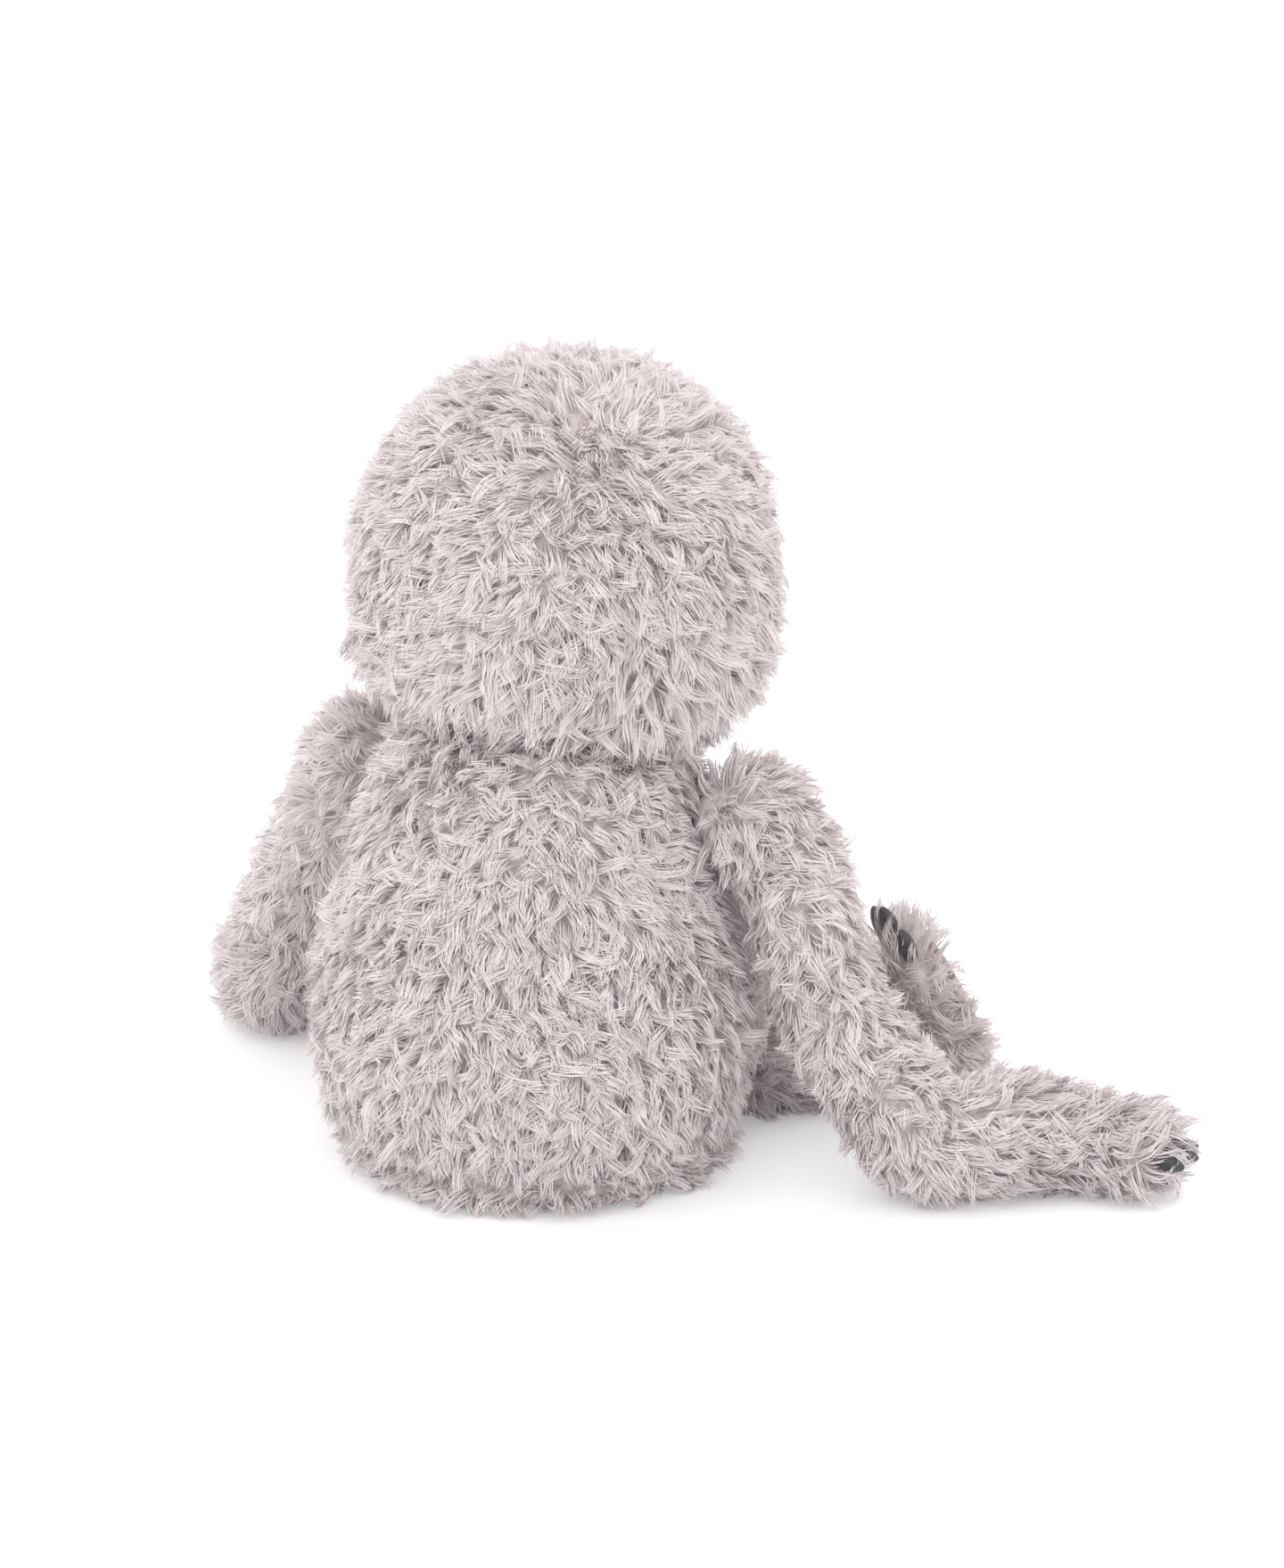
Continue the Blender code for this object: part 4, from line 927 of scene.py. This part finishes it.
def muzzle_share(points):
    """How far out each point is in the muzzle's oval, seen from the front."""
    return oval(points[:, 0], MUZZLE_HALF_WIDTH, points[:, 2] - muzzle_place().z, MUZZLE_HALF_HEIGHT)


def oval_share(points, place, half_width, half_length):
    """How far out each point is in an oval that lies in a frame's XY plane."""
    local = in_frame(points, place)
    return oval(local[:, 0], half_width, local[:, 1], half_length)


def nose_frame():
    return face_frame(0, muzzle_place().z + NOSE_RISE)


def nose_tip():
    return np.array([0, muzzle_place().y - MUZZLE_DEPTH, muzzle_place().z + NOSE_RISE])


def eye_frame(sign):
    return face_frame(sign * EYE_OUT, head_level(EYE_RISE_SHARE))


def patch_frame(sign):
    tilted = eye_frame(sign) @ Matrix.Rotation(sign * PATCH_TILT, 4, "Z")
    return tilted @ Matrix.Translation((0, -PATCH_SHIFT, 0))


def mouth_lines():
    """The stitched mouth: down from the nose, then out and up to both sides."""
    height = muzzle_place().z
    turn, half_width, lift = height - 0.0042, 0.0102, 0.0001
    lines = [[muzzle_point(0, height + 0.0030 - 0.0072 * k / 4, lift) for k in range(5)]]
    for sign in (-1, 1):
        outs = [sign * half_width * k / 6 for k in range(7)]
        rises = [turn - 0.0013 * math.sin(math.pi * k / 6) + 0.0030 * (k / 6) ** 2 for k in range(7)]
        lines.append([muzzle_point(out, rise, lift) for out, rise in zip(outs, rises)])
    return lines


def make_face():
    """The face's short cream pile, which leaves room for the patches and the muzzle."""
    middle = head_level(FACE_RISE_SHARE)

    def on_face(share, angle, lift):
        out = FACE_HALF_WIDTH * share * math.cos(angle)
        return face_point(out, middle + FACE_HALF_HEIGHT * share * math.sin(angle), lift)

    lifts = [(k / 12, -0.0012) for k in range(11)]
    lifts += [(0.9, -0.0016), (0.96, -0.0024), (1.0, -0.0038), (0.95, -0.0050), (0.5, -0.0050), (0.0, -0.0050)]
    mesh = pad_mesh("face_skin", on_face, lifts, 96)
    add_piece(mesh, face_skin_look, "face_fabric", "head", "face_panel", padded=0.9)
    roots, normals = scattered(mesh, NAP_SPACING)
    keep = (normals[:, 1] < -0.1) & (face_share(roots) < 0.985) & (muzzle_share(roots) > 0.90)
    for sign in (-1, 1):
        keep &= oval_share(roots, patch_frame(sign), PATCH_HALF_WIDTH, PATCH_HALF_LENGTH) > 0.93
    nap("face_nap", roots[keep], normals[keep], nose_tip(), 0.25, FACE_NAP, face_fur_look, "face_fabric")


def make_eye(side, sign):
    """A dark patch, and the bead eye on it."""
    patch, socket = patch_frame(sign), eye_frame(sign)

    def on_patch(share, angle, lift):
        half = Vector((PATCH_HALF_WIDTH * math.cos(angle), PATCH_HALF_LENGTH * math.sin(angle), 0))
        spot = patch @ (half * share)
        return face_point(spot.x, spot.z, lift)

    lifts = [(0.0, 0.0009), (0.2, 0.0009), (0.4, 0.0009), (0.6, 0.0008), (0.78, 0.0006), (0.9, 0.0001)]
    lifts += [(0.97, -0.0008), (0.94, -0.0020), (0.0, -0.0020)]
    name = f"{side}_eye_patch"
    mesh = pad_mesh(name, on_patch, lifts, 48)
    add_piece(mesh, patch_skin_look, "patch_fabric", "head", f"eye_patch_{side}")
    roots, normals = scattered(mesh, NAP_SPACING)
    keep = (normals[:, 1] < -0.1) & (muzzle_share(roots) > 0.96)
    keep &= oval_share(roots, patch, PATCH_HALF_WIDTH, PATCH_HALF_LENGTH) < 0.99
    keep &= oval_share(roots, socket, EYE_RADIUS + 0.0002, EYE_RADIUS + 0.0002) > 1
    source = np.array(socket.to_translation())
    nap(f"{name}_nap", roots[keep], normals[keep], source, 0.3, SHORT_NAP, patch_fur_look, "patch_fabric")

    dome = oval_profile(EYE_RADIUS, EYE_DOME, 32)[:17]
    back = [(EYE_RADIUS * 0.97, -0.0004), (EYE_RADIUS * 0.5, -0.0006), (0, -0.0006)]
    mesh = turned_skin(f"{side}_eye_bead", [*dome, *back], 48)
    place = socket @ Matrix.Translation((0, 0, PATCH_THICKNESS + EYE_LIFT))
    add_piece(mesh, eye_look, "eye_gloss", "head", f"{side}_eye", place=place)


def make_muzzle():
    """The muzzle with its groove and pile, and the stitched mouth."""
    inset, place = 0.0010, muzzle_place()
    wide, deep, tall = [value - inset for value in (MUZZLE_HALF_WIDTH, MUZZLE_DEPTH, MUZZLE_HALF_HEIGHT)]
    mesh = turned_skin("muzzle", oval_profile(wide, tall, 40), 72, deep / wide, place)
    spots = places(mesh)
    below = fade(place.z + NOSE_RISE - spots[:, 2], 0, 0.003) * (spots[:, 1] < place.y)
    spots[:, 1] += 0.0009 * np.exp(-((spots[:, 0] / 0.0013) ** 2)) * below
    set_places(mesh, spots)
    add_piece(mesh, face_skin_look, "face_fabric", "head", "muzzle_pad", padded=0.8)
    lines = mouth_lines()
    add_piece(thread_mesh("mouth_stitch", lines, 0.00050), thread_look, "patch_fabric", "head")
    stitched = np.array([point[:] for line in lines for point in Route(line).places])
    roots, normals = scattered(mesh, NAP_SPACING)
    keep = (normals[:, 1] < 0.15) & ~in_head(roots, 0.0)
    gap = np.linalg.norm((roots[:, None, :] - stitched[None, :, :])[..., [0, 2]], axis=2).min(1)
    keep &= (gap > 0.0008) | (roots[:, 1] > place.y - 0.004)
    keep &= oval_share(roots, nose_frame(), NOSE_HALF_WIDTH, NOSE_HALF_HEIGHT) > 0.92
    nap("muzzle_nap", roots[keep], normals[keep], nose_tip(), 0.3, SHORT_NAP, face_fur_look, "face_fabric")


def make_nose():
    """The moulded nose, narrower below, with two nostrils."""
    profile = oval_profile(NOSE_HALF_WIDTH, NOSE_DEPTH, 20)
    mesh = turned_skin("nose_pad", profile, 56, NOSE_HALF_HEIGHT / NOSE_HALF_WIDTH)
    spots = places(mesh)
    spots[:, 0] *= 1 - 0.30 * np.clip(-spots[:, 1] / NOSE_HALF_HEIGHT, 0, 1)
    for sign in (-1, 1):
        gap = ((spots[:, 0] - sign * 0.0034) / 0.0013) ** 2 + ((spots[:, 1] + 0.0012) / 0.0010) ** 2
        spots[:, 2] -= 0.0009 * np.exp(-gap) * (spots[:, 2] > 0)
    set_places(mesh, spots)
    stand_out = MUZZLE_DEPTH * math.sqrt(1 - (NOSE_RISE / MUZZLE_HALF_HEIGHT) ** 2)
    place = nose_frame() @ Matrix.Translation((0, 0, stand_out))
    add_piece(mesh, nose_look, "nose_gloss", "head", "nose", place=place)


# Arms

ARM_TABLE = (
    (0.0, SHOULDER_RADIUS),
    (ELBOW_SHARE / 2, UPPER_ARM_RADIUS),
    (ELBOW_SHARE, ELBOW_RADIUS),
    (BEND_SHARE, ARM_BEND_RADIUS),
    ((BEND_SHARE + WRIST_SHARE) / 2, FOREARM_RADIUS),
    (1.0, HAND_RADIUS),
)


def arm_route(sign):
    """An arm's centre line: down from the shoulder to the floor, then along it to the hand."""
    start = shoulder(sign)[0]
    if sign < 0:
        bend = Vector((-SEAT_BALL_RADIUS - RIGHT_BEND_ASIDE, start.y - RIGHT_BEND_FORWARD, 0))
        hand = bend + Vector((-RIGHT_HAND_OUT, -RIGHT_HAND_FORWARD, 0))
        upper_shares, fore_shares = RIGHT_UPPER_SHARES, RIGHT_FORE_SHARES
    else:
        bend = Vector((SEAT_BALL_RADIUS + LEFT_BEND_ASIDE, start.y - LEFT_BEND_FORWARD, 0))
        hand = bend + Vector((LEFT_HAND_OUT, -LEFT_HAND_FORWARD, 0))
        upper_shares, fore_shares = LEFT_UPPER_SHARES, LEFT_FORE_SHARES
    bend.z = ARM_BEND_RADIUS + FLOOR_LIFT
    hand.z = HAND_RADIUS + FLOOR_LIFT
    points = [start]
    for out, drop in upper_shares:
        level = start.lerp(bend, out)
        points.append(Vector((level.x, level.y, start.z + (bend.z - start.z) * drop)))
    points.append(bend)
    for out, advance in fore_shares:
        level = bend.lerp(hand, out)
        points.append(Vector((level.x, bend.y + (hand.y - bend.y) * advance, level.z)))
    return Route([*points, hand])


def make_arm(side, sign):
    """One arm's skin and fur."""
    route = arm_route(sign)
    line = limb_line(route, ARM_TABLE)
    mesh = tube_skin(f"{side}_arm_skin", line, 36)
    lumped(mesh, *ARM_LUMPS)
    place, travel = route.at(route.length * ELBOW_SHARE)
    reach = travel * ELBOW_REACH
    bodies = (f"{side}_upper_arm", f"{side}_forearm", place - reach, place + reach)
    nodes = [f"{side}_{part}_{kind}" for part in ("upper_arm", "forearm") for kind in ("cover", "filling")]
    add_piece(mesh, skin_look, "fur_fabric", bodies, *nodes, padded=0.8)

    roots, normals = scattered(mesh, LIMB_SPACING)
    centre, outward = (np.array(value) for value in shoulder(sign))
    keep = ((roots - centre) @ -outward) < SHOULDER_RADIUS - SKIN_INSET - 0.0022
    roots, normals = roots[keep], normals[keep]
    centres = np.array([place for place, radius in line])
    near = np.linalg.norm(roots[:, None, :] - centres[None, :, :], axis=2).argmin(1)
    flow = unit(np.gradient(centres, axis=0))[near]
    top = np.clip(1.15 - np.linalg.norm(roots - centre, axis=1) / SHOULDER_TOP_REACH, 0, 1)
    flow = flow + top[:, None] * (outward * 2.2 + [0, 0, -0.3]) + [0, 0, -0.12]
    turns = waver(roots * 1.3, 0.55) + rng.normal(0, 0.55, len(roots))
    hand = fade(near / (len(line) - 1), HAND_START_SHARE, 0.10)
    growth = 1 + 0.12 * top + 0.40 * hand
    growth[(normals[:, 2] < -0.75) & (roots[:, 2] < 0.008)] *= 0.8
    lean = (20 - 6 * hand, 80 - 12 * top - 14 * hand)
    fur(f"{side}_arm_fur", roots, normals, flow, turns, ARM_PILE, bodies, growth, blades=19, lean=lean)


# Legs

def foot_frame(sign):
    """A foot's frame: Z looks out of the sole and Y to the toes."""
    tall = math.hypot(FOOT_HALF_LENGTH * math.cos(FOOT_LEAN), FOOT_HALF_DEPTH * math.sin(FOOT_LEAN))
    level = Vector((sign * math.sin(LEG_SPLAY), -math.cos(LEG_SPLAY), 0))
    place = hip(sign) + level * LEG_LENGTH
    place.z = tall + FLOOR_LIFT
    return frame_at(place, level * math.cos(FOOT_LEAN) + Vector((0, 0, math.sin(FOOT_LEAN))))


def leg_mesh(side, start, foot):
    """The leg, the foot and the rim of the sole, fused into one skin."""
    ankle = start.lerp(foot.to_translation(), ANKLE_SHARE)
    ankle.z = ANKLE_RADIUS + FLOOR_LIFT
    route = Route([start, start.lerp(ankle, 1 / 2), ankle])
    mesh = tube_skin(f"{side}_leg_tube", limb_line(route, ((0.0, LEG_RADIUS), (1.0, ANKLE_RADIUS))), 36)
    radii = [value - SKIN_INSET for value in (FOOT_HALF_WIDTH, FOOT_HALF_LENGTH, FOOT_HALF_DEPTH)]
    rim = (FOOT_HALF_WIDTH * 0.72, FOOT_HALF_LENGTH * 0.74, SOLE_DEPTH)
    with edited(mesh) as work:
        ball = bmesh.ops.create_uvsphere(work, u_segments=36, v_segments=24, radius=1)["verts"]
        bmesh.ops.transform(work, matrix=foot @ Matrix.Diagonal((*radii, 1)), verts=ball)
        disc = bmesh.ops.create_cone(work, cap_ends=True, segments=48, radius1=1, radius2=1, depth=1)["verts"]
        place = foot @ Matrix.Translation((0, 0, SOLE_DEPTH / 2)) @ Matrix.Diagonal((*rim, 1))
        bmesh.ops.transform(work, matrix=place, verts=disc)
    item = new_object(f"{side}_leg_blank", mesh)
    fuse = item.modifiers.new("fuse", "REMESH")
    fuse.mode = "VOXEL"
    fuse.voxel_size = LEG_VOXEL
    ease = item.modifiers.new("ease", "SMOOTH")
    ease.iterations = 8
    graph = bpy.context.evaluated_depsgraph_get()
    bpy.context.view_layer.update()
    fused = bpy.data.meshes.new_from_object(item.evaluated_get(graph))
    fused.name = f"{side}_leg_skin"
    fused.materials.clear()
    bpy.data.objects.remove(item)
    smooth(fused)
    lumped(fused, *LEG_LUMPS)
    return fused


def make_leg(side, sign):
    """One leg's skin and its fur, which parts round the sole."""
    start, foot = hip(sign), foot_frame(sign)
    mesh = leg_mesh(side, start, foot)
    nodes = (f"{side}_leg_cover", f"{side}_leg_filling")
    add_piece(mesh, skin_look, "fur_fabric", f"{side}_leg", *nodes, padded=0.85)

    roots, normals = scattered(mesh, LIMB_SPACING)
    local = in_frame(roots, foot)
    sole = oval(local[:, 0], FOOT_HALF_WIDTH, local[:, 1], FOOT_HALF_LENGTH) < SOLE_PARTING_SHARE
    keep = away_from(roots, (0, 0, SEAT_BALL_HEIGHT), SEAT_BALL_RADIUS - SKIN_INSET + 0.001)
    keep &= ~((local[:, 2] > SOLE_DEPTH - 0.0025) & sole)
    roots, normals, local = roots[keep], normals[keep], local[keep]
    turn = np.array(foot.to_3x3())
    outward = unit((local * [1, 1, 0]) @ turn.T)
    level = unit(np.array(foot.to_translation() - start) * [1, 1, 0])
    on_foot = fade(local[:, 2], -0.020, 0.012)
    at_rim = fade(local[:, 2], -0.003, 0.004)
    flow = level * (1 - on_foot[:, None]) + outward * on_foot[:, None] + turn[:, 2] * at_rim[:, None] * 1.4
    toes = fade(local[:, 1] / FOOT_HALF_LENGTH, 0.50, 0.25)
    back = toes * np.clip(0.35 - local[:, 2] / 0.006, 0, 1)
    turns = (waver(roots * 1.4, 0.6) + rng.normal(0, 0.7, len(roots))) * (1 - 0.7 * toes)
    growth = 1 - 0.12 * on_foot + 0.42 * toes + 0.34 * back
    lean = (18 - 6 * toes + 20 * back, 72 - 18 * at_rim * (1 - toes) - 38 * toes + 48 * back)
    fur(f"{side}_leg_fur", roots, normals, flow, turns, LEG_PILE, f"{side}_leg", growth, blades=19, lean=lean)


def make_claw(name, body, root, direction, droop):
    """A satin claw with a rounded tip that droops a little."""
    line = []
    start, reach = -0.0040, CLAW_STAND + CLAW_HALF_LENGTH
    for step in range(15):
        t = math.sin(math.pi / 2 * step / 14)
        along = start + (reach - start) * t
        share = max(0.0, (along - CLAW_STAND) / CLAW_HALF_LENGTH)
        radius = (CLAW_RADIUS - 0.0001) * math.sqrt(max(0.0, 1 - share**2)) * (1 - 0.22 * share)
        bend = droop * 0.0008 * max(0.0, t - 0.3) ** 2
        line.append((root + direction * along + bend, radius))
    line.insert(1, (line[0][0], CLAW_RADIUS * 0.8))
    add_piece(tube_skin(f"{name}_satin", line, 24), claw_look, "claw_satin", body, name)


def make_claws(side, sign):
    """The claws of one hand and one foot."""
    route = arm_route(sign)
    tip, heading = route.at(route.length)
    heading.z = 0
    heading.normalize()
    for number, spread in enumerate((-CLAW_SPREAD, 0, CLAW_SPREAD), start=1):
        direction = Matrix.Rotation(spread, 3, "Z") @ heading
        root = tip + direction * HAND_RADIUS
        make_claw(f"{side}_hand_claw_{number}", f"{side}_forearm", root, direction, Vector((0, 0, -1)))
    foot = foot_frame(sign)
    turn = foot.to_3x3()
    for number, spread in enumerate((-FOOT_CLAW_SPREAD, 0, FOOT_CLAW_SPREAD), start=1):
        across, along = math.sin(spread), math.cos(spread)
        root = foot @ Vector((FOOT_HALF_WIDTH * across, FOOT_HALF_LENGTH * along, 0))
        direction = (turn @ Vector((across / 2, along, 0))).normalized()
        make_claw(f"{side}_foot_claw_{number}", f"{side}_leg", root, direction, turn @ Vector((0, 0, 1)))


def make_sole(side, sign):
    """The suede sole, with a row of stitches inside its edge."""
    foot = foot_frame(sign)
    low = SOLE_DEPTH + CLEARANCE
    share_of_foot = math.sqrt(1 - (low / FOOT_HALF_DEPTH) ** 2)
    half_width, half_length = FOOT_HALF_WIDTH * share_of_foot, FOOT_HALF_LENGTH * share_of_foot

    def on_sole(share, angle, lift):
        spot = (half_width * share * math.cos(angle), half_length * share * math.sin(angle), low + lift)
        return foot @ Vector(spot)

    lifts = [(0.0, 0.0021), (0.25, 0.0021), (0.5, 0.0020), (0.68, 0.0018), (0.78, 0.0015), (0.84, 0.0010)]
    lifts += [(0.90, 0.0011), (0.95, 0.0008), (0.99, 0.0002), (0.97, -0.0010), (0.90, -0.0018), (0.0, -0.0018)]
    mesh = pad_mesh(f"{side}_sole", on_sole, lifts, 72)
    add_piece(mesh, sole_look, "sole_fabric", f"{side}_leg", f"{side}_foot_sole")
    stitches, count = [], 40
    for start in full_turn(count):
        steps = [(start + 2 * math.pi * 0.62 * k / 3 / count, math.sin(math.pi * k / 3)) for k in range(4)]
        stitches.append([on_sole(0.84, angle, 0.0008 + 0.0004 * rise) for angle, rise in steps])
    mesh = thread_mesh(f"{side}_sole_stitches", stitches, 0.00024)
    add_piece(mesh, sole_thread_look, "sole_fabric", f"{side}_leg")


make_body()
make_hood()
make_hood_rim()
make_face()
make_eye("right", -1)
make_eye("left", 1)
make_muzzle()
make_nose()
for name in ("right_eye_washer", "left_eye_washer", "nose_washer"):
    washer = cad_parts[name]
    washer.data.materials.clear()
    washer.data.materials.append(washer_look)
make_neck()
for side, sign in (("right", -1), ("left", 1)):
    make_arm(side, sign)
    make_leg(side, sign)
    make_claws(side, sign)
    make_sole(side, sign)


# Stage

def make_floor():
    """A pale floor that fades into the white surround, and keeps the shadow."""
    bpy.ops.mesh.primitive_plane_add(size=6, location=(0, 0, 0))
    floor = bpy.context.object
    floor.name = "floor"
    material, tree, shader = new_material("floor_paper")
    rays = node(tree, "LightPath").outputs
    seen = node(tree, "Math", rays["Is Camera Ray"], rays["Is Glossy Ray"], operation="MAXIMUM")
    glow = node(tree, "Math", seen.outputs["Value"], 0.30, operation="MULTIPLY")
    feed(shader, (0.90, 0.90, 0.90, 1), Roughness=0.9, Emission_Color=(1, 1, 1, 1))
    feed(shader, Emission_Strength=glow.outputs["Value"])
    floor.data.materials.append(material)


def make_light():
    """Soft light all round, a little stronger than the white that the camera sees, and three lamps."""
    world = bpy.data.worlds.new("surround")
    bpy.context.scene.world = world
    world.use_nodes = True
    tree = world.node_tree
    seen = node(tree, "LightPath").outputs["Is Camera Ray"]
    strength = node(tree, "MapRange", seen, To_Min=1.04, To_Max=1.0)
    feed(tree.nodes["Background"], (1, 1, 1, 1), strength.outputs["Result"])
    for name, place, size, power in (
        ("key", (-0.75, 1.15, 1.35), 1.1, 4.5),
        ("fill", (0.9, 0.9, 0.9), 1.2, 3),
        ("front", (0.2, -1.4, 1.1), 1.2, 4.5),
    ):
        lamp = bpy.data.lights.new(name, "AREA")
        lamp.size = size
        lamp.energy = power
        item = new_object(name, lamp)
        item.location = place
        aim = Vector((0, 0, 0.11)) - Vector(place)
        item.rotation_euler = aim.to_track_quat("-Z", "Y").to_euler()


def make_camera():
    """The photograph's view, from behind and a little above."""
    camera = bpy.data.cameras.new("camera")
    camera.lens = 300
    camera.sensor_fit = "VERTICAL"
    camera.sensor_height = 36
    camera.clip_end = 20
    item = new_object("camera", camera)
    back = Vector((-0.4293, 0.8425, 0.3256)).normalized()
    item.location = Vector((-0.0277, -0.0141, 0.1162)) + back * 3.858
    item.rotation_euler = (-back).to_track_quat("-Z", "Y").to_euler()
    bpy.context.scene.camera = item
    bpy.context.scene.view_settings.view_transform = "Standard"


make_floor()
make_light()
make_camera()
bpy.context.view_layer.update()
